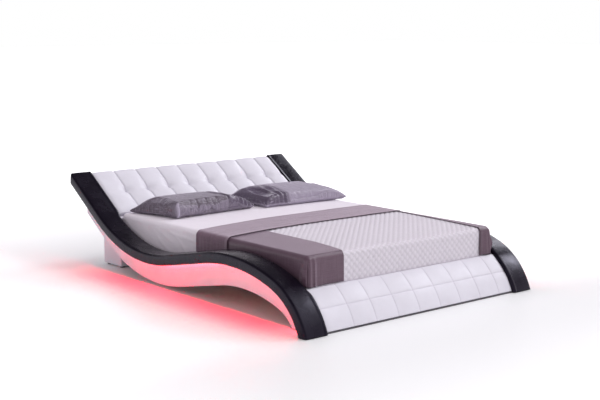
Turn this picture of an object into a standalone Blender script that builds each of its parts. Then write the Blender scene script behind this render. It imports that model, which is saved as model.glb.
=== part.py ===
"""A low leather bed whose side rails rise from the floor, dip and lean back into a headboard.

Units are metres and +Z is up. The foot end faces -Y and the head end +Y. The origin is on the
floor at the middle of the bed. Inside the script, y is measured from the foot end; one empty
carries every piece and moves that zero to its place.
"""
import math

import bmesh
import bpy
from mathutils import Matrix, Vector

# Clearances
GAP = 0.0003
CUT_OVERRUN = 0.01

# Mattress, which sets the width between the rails and the length of their wave
MATTRESS_WIDTH = 1.580
MATTRESS_LENGTH = 2.000
MATTRESS_THICKNESS = 0.225
MATTRESS_SIDE_CLEARANCE = 0.0225
MATTRESS_ROUNDING = 0.030
MATTRESS_CROWN = 0.004
MATTRESS_CORNER = 0.012

# The wave along the top of a side rail, from the floor at the foot to the head end.
# It keeps its shape with a longer or shorter mattress, so its sizes are shares of that length.
FELT_THICKNESS = 0.002
MATTRESS_FOOT_SHARE = 0.104
TOE_ANGLE = math.radians(70.5)
SHOULDER_RADIUS_SHARE = 0.245
SHOULDER_ANGLE = math.radians(19.2)
CREST_RADIUS_SHARE = 0.656
FALL_ANGLE = math.radians(-11.2)
FALL_RUN_SHARE = 0.218
DIP_RADIUS_SHARE = 0.536
HEAD_ANGLE = math.radians(33.7)
HEAD_RUN_SHARE = 0.230
SHOULDER_STEPS = 8
CREST_STEPS = 7
DIP_STEPS = 12

# Side rails: a black padded channel over a timber core and a full-height board
RAIL_WIDTH = 0.1625
RAIL_THICKNESS = 0.072
RAIL_PAD = 0.014
RAIL_ROUNDING = 0.014
RAIL_ROUND_STEPS = 3
BOARD_THICKNESS = 0.020

# Valances: the white leather skirt below each rail
VALANCE_DEPTH = 0.150
VALANCE_PAD = 0.023
VALANCE_ROUNDING = 0.004
VALANCE_FLOOR_GAP = 0.004
VALANCE_HEAD_INSET = 0.050

# Light strips in their aluminium channels under the rails
CHANNEL_WIDTH = 0.016
CHANNEL_HEIGHT = 0.008
CHANNEL_WALL = 0.002
CHANNEL_FOOT_HEIGHT = 0.020
STRIP_THICKNESS = 0.003

# Base below the mattress
SLAT_COUNT = 13
SLAT_WIDTH = 0.070
SLAT_THICKNESS = 0.018
SLAT_END_CLEARANCE = 0.0025
LEDGE_WIDTH = 0.036
LEDGE_HEIGHT = 0.020
CROSSBAR_THICKNESS = 0.025
BEAM_WIDTH = 0.050
BEAM_HEIGHT = 0.040
BEAM_WALL = 0.003
TIMBER_ROUNDING = 0.002

# Centre legs and their screw feet
LEG_COUNT = 3
LEG_RADIUS = 0.019
LEG_FLANGE_RADIUS = 0.024
LEG_FLANGE_THICKNESS = 0.004
STEM_RADIUS = 0.006
STEM_LENGTH = 0.060
STEM_END_CLEARANCE = 0.004
FOOT_RADIUS = 0.026
FOOT_THICKNESS = 0.012
FOOT_ROUNDING = 0.003
TURN_STEPS = 24

# Headboard
HEAD_PAD_THICKNESS = 0.032
HEAD_CROWN = 0.008
HEAD_TUFT_DEPTH = 0.012
HEAD_TUFT_REACH = 0.045
HEAD_TUFT_FROM_END = 0.238
HEAD_CREASE_DEPTH = 0.005
HEAD_SHELL_THICKNESS = 0.028
HEAD_BACK_THICKNESS = 0.005
PANEL_COLUMNS = 9
COLUMN_STEPS = 4
HEAD_ROWS = 12
PAD_EDGE_DROP = 0.006
PAD_EDGE_WIDTH = 0.016

# Footboard
FOOT_PAD_DEPTH = 0.018
FOOT_PAD_THICKNESS = 0.014
FOOT_CROWN = 0.005
FOOT_SHELL_THICKNESS = 0.018
FOOT_SEAM_FROM_FLOOR = 0.163
FOOT_TRIM_HEIGHT = 0.007
FOOT_BAR_HEIGHT = 0.100

# Rear leg blocks and their glides
REAR_LEG_SIZE = 0.230
REAR_LEG_FROM_RAIL = 0.0675
REAR_LEG_FROM_HEAD = 0.057
REAR_LEG_ROUNDING = 0.004
GLIDE_RADIUS = 0.020
GLIDE_HEIGHT = 0.009
GLIDE_INSET = 0.032

# Light driver
DRIVER_LENGTH = 0.140
DRIVER_HEIGHT = 0.042
DRIVER_DEPTH = 0.028
DRIVER_ROUNDING = 0.003
DRIVER_FROM_HEAD = 0.700
DRIVER_BELOW_LEDGE = 0.006
GLAND_RADIUS = 0.007
GLAND_LENGTH = 0.010

# Bedding
CLOTH_THICKNESS = 0.0025
CLOTH_LIFT = 0.0005
SIDE_HEM_HEIGHT = 0.205
FOOT_HEM_HEIGHT = 0.237
FOLD_DEPTH = 0.005
FOLD_PITCH = 0.310
FOLD_PITCH_SHORT = 0.130
FOLD_LONG_SHARE = 0.3
FOLD_SHORT_SHARE = 0.2
FOLD_COUNT = 20
FOLD_ROW_SHARE = 0.1
SHEET_OVERLAP = 0.020
SHEET_HEAD_MARGIN = 0.006
BAND_FROM_HEAD = 0.838
BAND_LENGTH = 0.340
STRIP_OVERLAP = 0.016
NEAR_STRIP_WIDTH = 0.330
NEAR_STRIP_NARROWING = 0.025
FAR_STRIP_WIDTH = 0.050
FAR_STRIP_WIDENING = 0.045
CLOTH_STEP = 0.130
DRAPE_STEPS = 3
ROUND_STEPS = 3

# Pillows, two of which fill the mattress's width
PILLOW_WIDTH_SHARE = 0.4706
PILLOW_MIDDLE_SHARE = 0.2451
PILLOW_DEPTH = 0.440
PILLOW_HEIGHT = 0.135
PILLOW_FROM_HEAD = 0.262
PILLOW_TURN = math.radians(4.0)
PILLOW_DRAW_IN = 0.022
PILLOW_COLUMNS = 18
PILLOW_ROWS = 12
PILLOW_SEAM_SHARE = 0.30
PILLOW_PIPING = 0.004

# Which side of the bed a piece is on, looking from the foot to the head
SIDES = {"left": -1, "right": 1}
Y = 0
Z = 1


def clear_scene():
    for item in list(bpy.data.objects):
        bpy.data.objects.remove(item, do_unlink=True)


def make_collection(name):
    collection = bpy.data.collections.new(name)
    bpy.context.scene.collection.children.link(collection)
    return collection


clear_scene()
PARTS = make_collection("leather_bed")
CUTTERS = make_collection("cutters")


def make_material(name, colour, roughness, metallic=0.0):
    material = bpy.data.materials.new(name)
    material.use_nodes = True
    shader = material.node_tree.nodes["Principled BSDF"]
    shader.inputs["Base Color"].default_value = (*colour, 1.0)
    shader.inputs["Roughness"].default_value = roughness
    shader.inputs["Metallic"].default_value = metallic
    return material


BLACK_LEATHER = make_material("black_leather", (0.028, 0.026, 0.036), 0.36)
WHITE_LEATHER = make_material("white_leather", (0.82, 0.80, 0.85), 0.40)
TIMBER = make_material("timber", (0.62, 0.46, 0.29), 0.60)
PLYWOOD = make_material("plywood", (0.66, 0.52, 0.36), 0.65)
BLACK_STEEL = make_material("black_steel", (0.03, 0.03, 0.032), 0.45, 1.0)
BLACK_PLASTIC = make_material("black_plastic", (0.02, 0.02, 0.02), 0.50)
ALUMINIUM = make_material("aluminium", (0.75, 0.75, 0.77), 0.35, 1.0)
DIFFUSER = make_material("diffuser", (1.0, 0.25, 0.30), 0.30)
MATTRESS_CLOTH = make_material("mattress_cloth", (0.85, 0.84, 0.87), 0.80)
SHEET_CLOTH = make_material("sheet_cloth", (0.78, 0.74, 0.82), 0.75)
COVER_CLOTH = make_material("cover_cloth", (0.17, 0.12, 0.145), 0.60)
PILLOW_CLOTH = make_material("pillow_cloth", (0.20, 0.17, 0.20), 0.55)


# The wave

SHOULDER_RADIUS = SHOULDER_RADIUS_SHARE * MATTRESS_LENGTH
CREST_RADIUS = CREST_RADIUS_SHARE * MATTRESS_LENGTH
FALL_RUN = FALL_RUN_SHARE * MATTRESS_LENGTH
DIP_RADIUS = DIP_RADIUS_SHARE * MATTRESS_LENGTH
HEAD_RUN = HEAD_RUN_SHARE * MATTRESS_LENGTH


def trace_wave():
    """The knots of the wave as (distance, y, z, heading)."""
    knots = [(0.0, 0.0, FELT_THICKNESS + GAP, TOE_ANGLE)]

    def go(chord, arc, turn):
        distance, y, z, heading = knots[-1]
        aim = heading + turn / 2
        knots.append((distance + arc, y + chord * math.cos(aim), z + chord * math.sin(aim), heading + turn))

    def bend(to_heading, radius, steps):
        turn = (to_heading - knots[-1][3]) / steps
        for _ in range(steps):
            go(2 * radius * math.sin(abs(turn) / 2), radius * abs(turn), turn)

    bend(SHOULDER_ANGLE, SHOULDER_RADIUS, SHOULDER_STEPS)
    bend(FALL_ANGLE, CREST_RADIUS, CREST_STEPS)
    go(FALL_RUN, FALL_RUN, 0.0)
    bend(HEAD_ANGLE, DIP_RADIUS, DIP_STEPS)
    go(HEAD_RUN, HEAD_RUN, 0.0)
    return knots


WAVE = trace_wave()
BED_LENGTH = WAVE[-1][1]


def below_knot(knot, depth):
    """The point that lies a depth below the top line at one knot."""
    _, y, z, heading = knot
    return y + depth * math.sin(heading), z - depth * math.cos(heading)


def wave_point(distance, depth):
    """A point of the line at this depth. It runs straight from knot to knot, so lines stay parallel."""
    index = 0
    while index < len(WAVE) - 2 and distance > WAVE[index + 1][0]:
        index += 1
    low, high = WAVE[index], WAVE[index + 1]
    share = (distance - low[0]) / (high[0] - low[0])
    start, end = below_knot(low, depth), below_knot(high, depth)
    return tuple(a + (b - a) * share for a, b in zip(start, end))


def distance_where(depth, axis, value):
    """How far along the wave the line at this depth first reaches a height (Z) or a station (Y)."""
    points = [below_knot(knot, depth) for knot in WAVE]
    index = 0
    while index < len(points) - 2 and points[index + 1][axis] < value:
        index += 1
    low, high = points[index][axis], points[index + 1][axis]
    share = (value - low) / (high - low)
    return WAVE[index][0] + share * (WAVE[index + 1][0] - WAVE[index][0])


def distances_between(start, end):
    """The start, the knots between, and the end."""
    inner = [knot[0] for knot in WAVE if start + GAP < knot[0] < end - GAP]
    return [start, *inner, end]


def wave_line(depth, start, end):
    return [wave_point(distance, depth) for distance in distances_between(start, end)]


def line_from_floor(depth, floor, head):
    """The line at this depth from a height above the floor to a station near the head."""
    return wave_line(depth, distance_where(depth, Z, floor), distance_where(depth, Y, head))


def line_between_stations(depth, foot, head):
    return wave_line(depth, distance_where(depth, Y, foot), distance_where(depth, Y, head))


def band_from_floor(upper, lower, floor, head):
    """The outline between two depths, cut level at the foot and upright at the head."""
    return line_from_floor(upper, floor, head) + line_from_floor(lower, floor, head)[::-1]


def band_between_stations(upper, lower, foot, head):
    return line_between_stations(upper, foot, head) + line_between_stations(lower, foot, head)[::-1]


RAIL_INNER = MATTRESS_WIDTH / 2 + MATTRESS_SIDE_CLEARANCE
RAIL_OUTER = RAIL_INNER + RAIL_WIDTH
BOARD_INNER = RAIL_INNER + RAIL_PAD + GAP
BOARD_OUTER = BOARD_INNER + BOARD_THICKNESS
VALANCE_INNER = BOARD_OUTER + GAP
VALANCE_OUTER = VALANCE_INNER + VALANCE_PAD
VALANCE_LOWER = RAIL_THICKNESS + VALANCE_DEPTH
RAIL_FOOT = FELT_THICKNESS + GAP
VALANCE_HEAD = BED_LENGTH - VALANCE_HEAD_INSET

LEDGE_TOP = min(below_knot(knot, RAIL_THICKNESS)[Z] for knot in WAVE[SHOULDER_STEPS:]) - GAP
LEDGE_BOTTOM = LEDGE_TOP - LEDGE_HEIGHT
SLAT_BOTTOM = LEDGE_TOP + GAP
MATTRESS_BOTTOM = SLAT_BOTTOM + SLAT_THICKNESS + GAP
MATTRESS_TOP = MATTRESS_BOTTOM + MATTRESS_THICKNESS
MATTRESS_FOOT = MATTRESS_FOOT_SHARE * MATTRESS_LENGTH
MATTRESS_HEAD = MATTRESS_FOOT + MATTRESS_LENGTH
BEAM_BOTTOM = LEDGE_TOP - BEAM_HEIGHT
REAR_LEG_OUTER = RAIL_INNER - REAR_LEG_FROM_RAIL
LAYER = CLOTH_LIFT + CLOTH_THICKNESS
FOLD_STEP = MATTRESS_LENGTH / FOLD_COUNT
BAND_HEAD_EDGE = MATTRESS_HEAD - BAND_FROM_HEAD
BAND_FOOT_EDGE = BAND_HEAD_EDGE - BAND_LENGTH
PILLOW_WIDTH = PILLOW_WIDTH_SHARE * MATTRESS_WIDTH
PILLOW_FROM_MIDDLE = PILLOW_MIDDLE_SHARE * MATTRESS_WIDTH
SHEET_FOOT_EDGE = BAND_FOOT_EDGE + SHEET_OVERLAP
STRIP_HEAD_EDGE = BAND_FOOT_EDGE + STRIP_OVERLAP
HEAD_BAR_FOOT = MATTRESS_HEAD + GAP
HEAD_BAR_HEAD = HEAD_BAR_FOOT + CROSSBAR_THICKNESS
FOOT_BAR_HEAD = MATTRESS_FOOT + CROSSBAR_THICKNESS


# Building tools

ROOT = bpy.data.objects.new("bed_frame", None)
ROOT.location = (0.0, -BED_LENGTH / 2, 0.0)
PARTS.objects.link(ROOT)

# Turns the drawing plane of a curve into the side view of the bed: drawn x to y, y to z, z to x
SIDE_VIEW = Matrix(((0, 0, 1, 0), (1, 0, 0, 0), (0, 1, 0, 0), (0, 0, 0, 1)))


def place(name, mesh, material, location=(0.0, 0.0, 0.0), turn=0.0):
    item = bpy.data.objects.new(name, mesh)
    item.location = location
    item.rotation_euler = (0.0, 0.0, turn)
    item.parent = ROOT
    if material is None:
        item.hide_render = True
        item.display_type = "WIRE"
        CUTTERS.objects.link(item)
    else:
        mesh.materials.append(material)
        PARTS.objects.link(item)
    return item


def mesh_from(bm, name, smooth_angle=None):
    bmesh.ops.recalc_face_normals(bm, faces=bm.faces)
    closed = all(edge.is_manifold for edge in bm.edges)
    if closed and bm.calc_volume(signed=True) < 0.0:
        bmesh.ops.reverse_faces(bm, faces=bm.faces)
    mesh = bpy.data.meshes.new(name)
    bm.to_mesh(mesh)
    bm.free()
    if smooth_angle is not None:
        mesh.shade_smooth()
        mesh.set_sharp_from_angle(angle=smooth_angle)
    return mesh


SMOOTH_ANGLE = math.radians(35.0)
FLAT_ANGLE = math.radians(0.05)
SHARP_ANGLE = math.radians(50.0)


def extruded_outline(outline, width):
    """A filled 2D curve in the side view, extruded across the bed and made a clean mesh."""
    curve = bpy.data.curves.new("outline", "CURVE")
    curve.dimensions = "2D"
    curve.fill_mode = "BOTH"
    curve.extrude = width / 2
    spline = curve.splines.new("POLY")
    spline.points.add(len(outline) - 1)
    for point, (y, z) in zip(spline.points, outline):
        point.co = (y, z, 0.0, 1.0)
    spline.use_cyclic_u = True
    guide = bpy.data.objects.new("outline", curve)
    CUTTERS.objects.link(guide)
    drawn = bpy.data.meshes.new_from_object(guide.evaluated_get(bpy.context.evaluated_depsgraph_get()))
    bm = bmesh.new()
    bm.from_mesh(drawn)
    bpy.data.meshes.remove(drawn)
    bpy.data.objects.remove(guide, do_unlink=True)
    bmesh.ops.remove_doubles(bm, verts=bm.verts, dist=GAP / 10)
    bmesh.ops.dissolve_limit(bm, angle_limit=FLAT_ANGLE, verts=bm.verts, edges=bm.edges)
    bmesh.ops.transform(bm, matrix=SIDE_VIEW, verts=bm.verts)
    bmesh.ops.recalc_face_normals(bm, faces=bm.faces)
    return bm


def round_edges(bm, chosen, radius, steps):
    edges = [edge for edge in bm.edges if edge.calc_face_angle(0.0) > SHARP_ANGLE and chosen(edge)]
    bmesh.ops.bevel(bm, geom=edges, offset=radius, offset_type="OFFSET", segments=steps, profile=0.5,
                    affect="EDGES", clamp_overlap=True)


def every_edge(edge):
    return True


def side_piece(name, outline, inner, outer, side, material, rounding=0.0, steps=1, chosen=every_edge):
    """An outline extruded between two distances from the middle, on one side of the bed."""
    bm = extruded_outline(outline, outer - inner)
    if rounding:
        round_edges(bm, chosen, rounding, steps)
    smooth = SMOOTH_ANGLE if rounding else None
    return place(name, mesh_from(bm, name, smooth), material, (side * (inner + outer) / 2, 0.0, 0.0))


def cross_piece(name, outline, half_width, material, rounding=0.0, steps=1, chosen=every_edge):
    """An outline extruded right across the bed."""
    return side_piece(name, outline, -half_width, half_width, 1, material, rounding, steps, chosen)


def box(name, low, high, material, rounding=0.0, steps=1):
    bm = bmesh.new()
    bmesh.ops.create_cube(bm, size=1.0)
    size = [b - a for a, b in zip(low, high)]
    bmesh.ops.scale(bm, vec=size, verts=bm.verts)
    if rounding:
        round_edges(bm, every_edge, rounding, steps)
    middle = [(a + b) / 2 for a, b in zip(low, high)]
    return place(name, mesh_from(bm, name), material, middle)


def turned(name, profile, material, location):
    """A profile of (radius, height) points, top to bottom, turned about an upright axis."""
    mesh = bpy.data.meshes.new(name)
    points = [(radius, 0.0, height) for radius, height in profile]
    mesh.from_pydata(points, [(i, i + 1) for i in range(len(points) - 1)], [])
    item = place(name, mesh, material, location)
    screw = item.modifiers.new("turn", "SCREW")
    screw.steps = TURN_STEPS
    screw.render_steps = TURN_STEPS
    screw.use_merge_vertices = True
    screw.merge_threshold = GAP / 10
    screw.use_smooth_shade = False
    return item


def cut(item, cutter, operation="DIFFERENCE"):
    modifier = item.modifiers.new(operation.lower(), "BOOLEAN")
    modifier.operation = operation
    modifier.object = cutter
    modifier.solver = "EXACT"
    return item


# Side rails, boards, valances and lights

def above_floor(edge):
    """Leaves out the edges that lie on the rail's foot."""
    return max(vert.co.z for vert in edge.verts) > RAIL_FOOT + GAP


def make_side(word, side):
    cover_outline = band_from_floor(0.0, RAIL_THICKNESS, RAIL_FOOT, BED_LENGTH)
    cover = side_piece(f"rail_cover_{word}", cover_outline, RAIL_INNER, RAIL_OUTER, side, BLACK_LEATHER,
                       RAIL_ROUNDING, RAIL_ROUND_STEPS, above_floor)
    hollow_outline = band_from_floor(RAIL_PAD, RAIL_THICKNESS + CUT_OVERRUN, -CUT_OVERRUN,
                                     BED_LENGTH - RAIL_PAD)
    hollow = side_piece(f"rail_hollow_{word}", hollow_outline, RAIL_INNER + RAIL_PAD,
                        RAIL_OUTER - RAIL_PAD, side, None)
    cut(cover, hollow)

    core_outline = band_from_floor(RAIL_PAD + GAP, RAIL_THICKNESS, RAIL_FOOT, BED_LENGTH - RAIL_PAD - GAP)
    side_piece(f"rail_core_{word}", core_outline, VALANCE_INNER, RAIL_OUTER - RAIL_PAD - GAP, side, TIMBER)

    board_outline = band_from_floor(RAIL_PAD + GAP, VALANCE_LOWER, VALANCE_FLOOR_GAP, VALANCE_HEAD)
    side_piece(f"side_board_{word}", board_outline, BOARD_INNER, BOARD_OUTER, side, PLYWOOD)

    valance_outline = band_from_floor(RAIL_THICKNESS + GAP, VALANCE_LOWER, VALANCE_FLOOR_GAP, VALANCE_HEAD)
    side_piece(f"valance_{word}", valance_outline, VALANCE_INNER, VALANCE_OUTER, side, WHITE_LEATHER,
               VALANCE_ROUNDING)

    middle = side * (RAIL_INNER + RAIL_OUTER) / 2
    felt_half = RAIL_WIDTH / 2 - RAIL_PAD
    box(f"foot_felt_{word}", (middle - felt_half, RAIL_ROUNDING, 0.0),
        (middle + felt_half, RAIL_THICKNESS - RAIL_PAD, FELT_THICKNESS), BLACK_PLASTIC)
    make_light(word, side)


def make_light(word, side):
    """An aluminium channel under the rail, beside the valance, with its light strip."""
    roof = RAIL_THICKNESS + GAP
    inner = VALANCE_OUTER + GAP
    outer = inner + CHANNEL_WIDTH
    channel_outline = band_from_floor(roof, roof + CHANNEL_HEIGHT, CHANNEL_FOOT_HEIGHT, VALANCE_HEAD)
    channel = side_piece(f"light_channel_{word}", channel_outline, inner, outer, side, ALUMINIUM)
    groove_outline = band_from_floor(roof + CHANNEL_WALL, roof + CHANNEL_HEIGHT + CUT_OVERRUN,
                                     CHANNEL_FOOT_HEIGHT - CUT_OVERRUN, VALANCE_HEAD + CUT_OVERRUN)
    groove = side_piece(f"light_groove_{word}", groove_outline, inner + CHANNEL_WALL, outer - CHANNEL_WALL,
                        side, None)
    cut(channel, groove)
    strip_top = roof + CHANNEL_WALL + GAP
    strip_outline = band_from_floor(strip_top, strip_top + STRIP_THICKNESS,
                                    CHANNEL_FOOT_HEIGHT, VALANCE_HEAD)
    side_piece(f"light_strip_{word}", strip_outline, inner + CHANNEL_WALL + GAP, outer - CHANNEL_WALL - GAP,
               side, DIFFUSER)


# Padded panels

HEAD_PAD_HALF = RAIL_INNER - GAP


def doubled_grid(columns, rows):
    """A grid and its extruded copy, with each vertex of the grid beside its own copy."""
    bm = bmesh.new()
    bmesh.ops.create_grid(bm, x_segments=columns, y_segments=rows, size=1.0)
    base = list(bm.verts)
    lifted = bmesh.ops.extrude_face_region(bm, geom=list(bm.faces), use_keep_orig=True)
    copies = {tuple(item.co): item for item in lifted["geom"] if isinstance(item, bmesh.types.BMVert)}
    return bm, [(vert, copies[tuple(vert.co)]) for vert in base]


def padded_panel(name, distances, top_depth, base_depth, height):
    """A grid across the bed and along the wave: a flat base, and a top raised by a height function."""
    rows = len(distances) - 1
    bm, pairs = doubled_grid(PANEL_COLUMNS * COLUMN_STEPS, rows)
    for low, high in pairs:
        across = (low.co.x + 1.0) / 2
        row = round((low.co.y + 1.0) / 2 * rows)
        x = (2 * across - 1) * HEAD_PAD_HALF
        rise = height(across, distances[row])
        low_y, low_z = wave_point(distances[row], base_depth)
        high_y, high_z = wave_point(distances[row], top_depth - rise)
        low.co = (x, low_y, low_z)
        high.co = (x, high_y, high_z)
    bmesh.ops.triangulate(bm, faces=bm.faces)
    return place(name, mesh_from(bm, name, SMOOTH_ANGLE), WHITE_LEATHER)


def column_puff(across):
    """One in the middle of a padded column and zero on its seams."""
    place_in_column = across * PANEL_COLUMNS % 1.0
    return 1.0 - abs(2 * place_in_column - 1.0) ** 2


def bump(offset, reach):
    return math.exp(-(offset / reach) ** 2)


def edge_drop(offset):
    """How far a pad falls near its own edge."""
    return PAD_EDGE_DROP * bump(offset, PAD_EDGE_WIDTH)


def evenly(start, end, steps):
    return [start + (end - start) * step / steps for step in range(steps + 1)]


HEAD_PAD_START = distance_where(0.0, Y, MATTRESS_HEAD + PAD_EDGE_DROP)
HEAD_PAD_END = distance_where(HEAD_PAD_THICKNESS, Y, BED_LENGTH)
HEAD_TUFT_LINE = WAVE[-1][0] - HEAD_TUFT_FROM_END


def head_height(across, distance):
    x = (2 * across - 1) * HEAD_PAD_HALF
    column = 2 * HEAD_PAD_HALF / PANEL_COLUMNS
    seam = round(across * PANEL_COLUMNS)
    from_seam = x - (2 * seam / PANEL_COLUMNS - 1) * HEAD_PAD_HALF
    from_row = distance - HEAD_TUFT_LINE
    rise = HEAD_CROWN * column_puff(across)
    rise -= HEAD_CREASE_DEPTH * bump(from_row, HEAD_TUFT_REACH / 2)
    if 0 < seam < PANEL_COLUMNS:
        rise -= HEAD_TUFT_DEPTH * bump(math.hypot(from_seam, from_row), min(HEAD_TUFT_REACH, column / 2))
    rise -= edge_drop(HEAD_PAD_HALF - abs(x))
    rise -= edge_drop(distance - HEAD_PAD_START)
    rise -= edge_drop(HEAD_PAD_END - distance)
    return rise


def make_headboard():
    distances = evenly(HEAD_PAD_START, HEAD_PAD_END, HEAD_ROWS)
    knots = [knot[0] for knot in WAVE if HEAD_PAD_START + GAP < knot[0] < HEAD_PAD_END - GAP]
    for knot in knots:
        nearest = min(range(1, HEAD_ROWS), key=lambda row: abs(distances[row] - knot))
        distances[nearest] = knot
    padded_panel("headboard_pad", distances, 0.0, HEAD_PAD_THICKNESS, head_height)

    shell_top = HEAD_PAD_THICKNESS + GAP
    shell_bottom = shell_top + HEAD_SHELL_THICKNESS
    back_top = shell_bottom + GAP
    back_bottom = back_top + HEAD_BACK_THICKNESS
    shell_end = BED_LENGTH - HEAD_BACK_THICKNESS - GAP
    shell_outline = band_between_stations(shell_top, shell_bottom, HEAD_BAR_FOOT, shell_end)
    cross_piece("headboard_shell", shell_outline, HEAD_PAD_HALF, PLYWOOD)

    flap_station = BED_LENGTH - HEAD_BACK_THICKNESS
    back_outline = line_between_stations(back_top, HEAD_BAR_FOOT, flap_station)
    back_outline.append(wave_point(distance_where(shell_top, Y, flap_station), shell_top))
    back_outline.append(wave_point(distance_where(shell_top, Y, BED_LENGTH), shell_top))
    back_outline += line_between_stations(back_bottom, HEAD_BAR_FOOT, BED_LENGTH)[::-1]
    cross_piece("headboard_back", back_outline, HEAD_PAD_HALF, BLACK_LEATHER)
    return back_bottom


FOOT_PAD_BASE = FOOT_PAD_DEPTH + FOOT_PAD_THICKNESS
FOOT_PAD_START = distance_where(FOOT_PAD_BASE, Z, FOOT_TRIM_HEIGHT + GAP)
FOOT_PAD_END = distance_where(FOOT_PAD_BASE, Y, MATTRESS_FOOT - GAP)


def foot_height(across, distance):
    x = (2 * across - 1) * HEAD_PAD_HALF
    seam = FOOT_SEAM_FROM_FLOOR
    length = seam - FOOT_PAD_START if distance < seam else FOOT_PAD_END - seam
    from_seam = abs(distance - seam)
    row_puff = 1.0 - abs(2 * min(from_seam / length, 1.0) - 1.0) ** 2
    rise = FOOT_CROWN * column_puff(across) ** 0.5 * row_puff ** 0.5
    rise -= edge_drop(HEAD_PAD_HALF - abs(x))
    return rise


def make_footboard():
    stops = distances_between(FOOT_PAD_START, FOOT_PAD_END)
    distances = []
    for start, end in zip(stops, stops[1:]):
        distances += [start, (start + end) / 2]
    distances.append(stops[-1])
    padded_panel("footboard_pad", distances, FOOT_PAD_DEPTH, FOOT_PAD_BASE, foot_height)

    shell_top = FOOT_PAD_BASE + GAP
    shell_bottom = shell_top + FOOT_SHELL_THICKNESS
    shell_head = MATTRESS_FOOT - GAP
    upper = wave_line(shell_top, distance_where(shell_top, Z, FOOT_TRIM_HEIGHT + GAP),
                      distance_where(shell_top, Y, shell_head))
    lower = wave_line(shell_bottom, distance_where(shell_bottom, Z, FOOT_TRIM_HEIGHT + GAP),
                      distance_where(shell_bottom, Y, shell_head))
    cross_piece("footboard_shell", upper + lower[::-1], HEAD_PAD_HALF, PLYWOOD)

    trim_y = wave_point(FOOT_PAD_START, FOOT_PAD_DEPTH)[Y]
    trim_head = wave_point(distance_where(shell_bottom, Z, FOOT_TRIM_HEIGHT), shell_bottom)[Y]
    box("footboard_trim", (-HEAD_PAD_HALF, trim_y, 0.0), (HEAD_PAD_HALF, trim_head, FOOT_TRIM_HEIGHT),
        BLACK_PLASTIC)


# Mattress base

def make_base():
    for word, side in SIDES.items():
        edges = sorted((side * (BOARD_INNER - GAP), side * (BOARD_INNER - GAP - LEDGE_WIDTH)))
        box(f"slat_ledge_{word}", (edges[0], FOOT_BAR_HEAD + GAP, LEDGE_BOTTOM),
            (edges[1], HEAD_BAR_FOOT - GAP, LEDGE_TOP), TIMBER, TIMBER_ROUNDING)

    bar_half = BOARD_INNER - GAP
    foot_bar_top = SLAT_BOTTOM + SLAT_THICKNESS
    box("foot_crossbar", (-HEAD_PAD_HALF, MATTRESS_FOOT, foot_bar_top - FOOT_BAR_HEIGHT),
        (HEAD_PAD_HALF, FOOT_BAR_HEAD, foot_bar_top), TIMBER, TIMBER_ROUNDING)
    bar_depth = RAIL_THICKNESS + GAP
    head_bar_top = wave_point(distance_where(bar_depth, Y, HEAD_BAR_FOOT), bar_depth)[Z]
    box("head_crossbar", (-bar_half, HEAD_BAR_FOOT, BEAM_BOTTOM), (bar_half, HEAD_BAR_HEAD, head_bar_top),
        TIMBER, TIMBER_ROUNDING)

    beam_foot = FOOT_BAR_HEAD + GAP
    beam_head = HEAD_BAR_FOOT - GAP
    half = BEAM_WIDTH / 2
    beam = box("centre_beam", (-half, beam_foot, BEAM_BOTTOM), (half, beam_head, LEDGE_TOP),
               BLACK_STEEL, BEAM_WALL)
    bore_half = half - BEAM_WALL
    bore = box("beam_bore", (-bore_half, beam_foot - CUT_OVERRUN, BEAM_BOTTOM + BEAM_WALL),
               (bore_half, beam_head + CUT_OVERRUN, LEDGE_TOP - BEAM_WALL), None)
    cut(beam, bore)

    first = FOOT_BAR_HEAD + SLAT_WIDTH / 2 + SLAT_END_CLEARANCE
    last = HEAD_BAR_FOOT - SLAT_WIDTH / 2 - SLAT_END_CLEARANCE
    slat_half = RAIL_INNER - SLAT_END_CLEARANCE
    for number, y in enumerate(evenly(first, last, SLAT_COUNT - 1), 1):
        box(f"slat_{number:02d}", (-slat_half, y - SLAT_WIDTH / 2, SLAT_BOTTOM),
            (slat_half, y + SLAT_WIDTH / 2, SLAT_BOTTOM + SLAT_THICKNESS), TIMBER, TIMBER_ROUNDING)

    for number, y in enumerate(evenly(beam_foot, beam_head, LEG_COUNT + 1)[1:-1], 1):
        make_centre_leg(number, y)


def make_centre_leg(number, y):
    top = BEAM_BOTTOM - GAP
    bottom = FOOT_THICKNESS + GAP
    bore_radius = STEM_RADIUS + GAP
    bore_top = FOOT_THICKNESS + STEM_LENGTH + STEM_END_CLEARANCE
    leg = [(0.0, top), (LEG_FLANGE_RADIUS, top), (LEG_FLANGE_RADIUS, top - LEG_FLANGE_THICKNESS),
           (LEG_RADIUS, top - LEG_FLANGE_THICKNESS), (LEG_RADIUS, bottom), (bore_radius, bottom),
           (bore_radius, bore_top), (0.0, bore_top)]
    turned(f"centre_leg_{number}", leg, BLACK_STEEL, (0.0, y, 0.0))
    foot = [(0.0, FOOT_THICKNESS + STEM_LENGTH), (STEM_RADIUS, FOOT_THICKNESS + STEM_LENGTH),
            (STEM_RADIUS, FOOT_THICKNESS), (FOOT_RADIUS - FOOT_ROUNDING, FOOT_THICKNESS),
            (FOOT_RADIUS, FOOT_THICKNESS - FOOT_ROUNDING), (FOOT_RADIUS, 0.0), (0.0, 0.0)]
    turned(f"screw_foot_{number}", foot, BLACK_PLASTIC, (0.0, y, 0.0))


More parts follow.
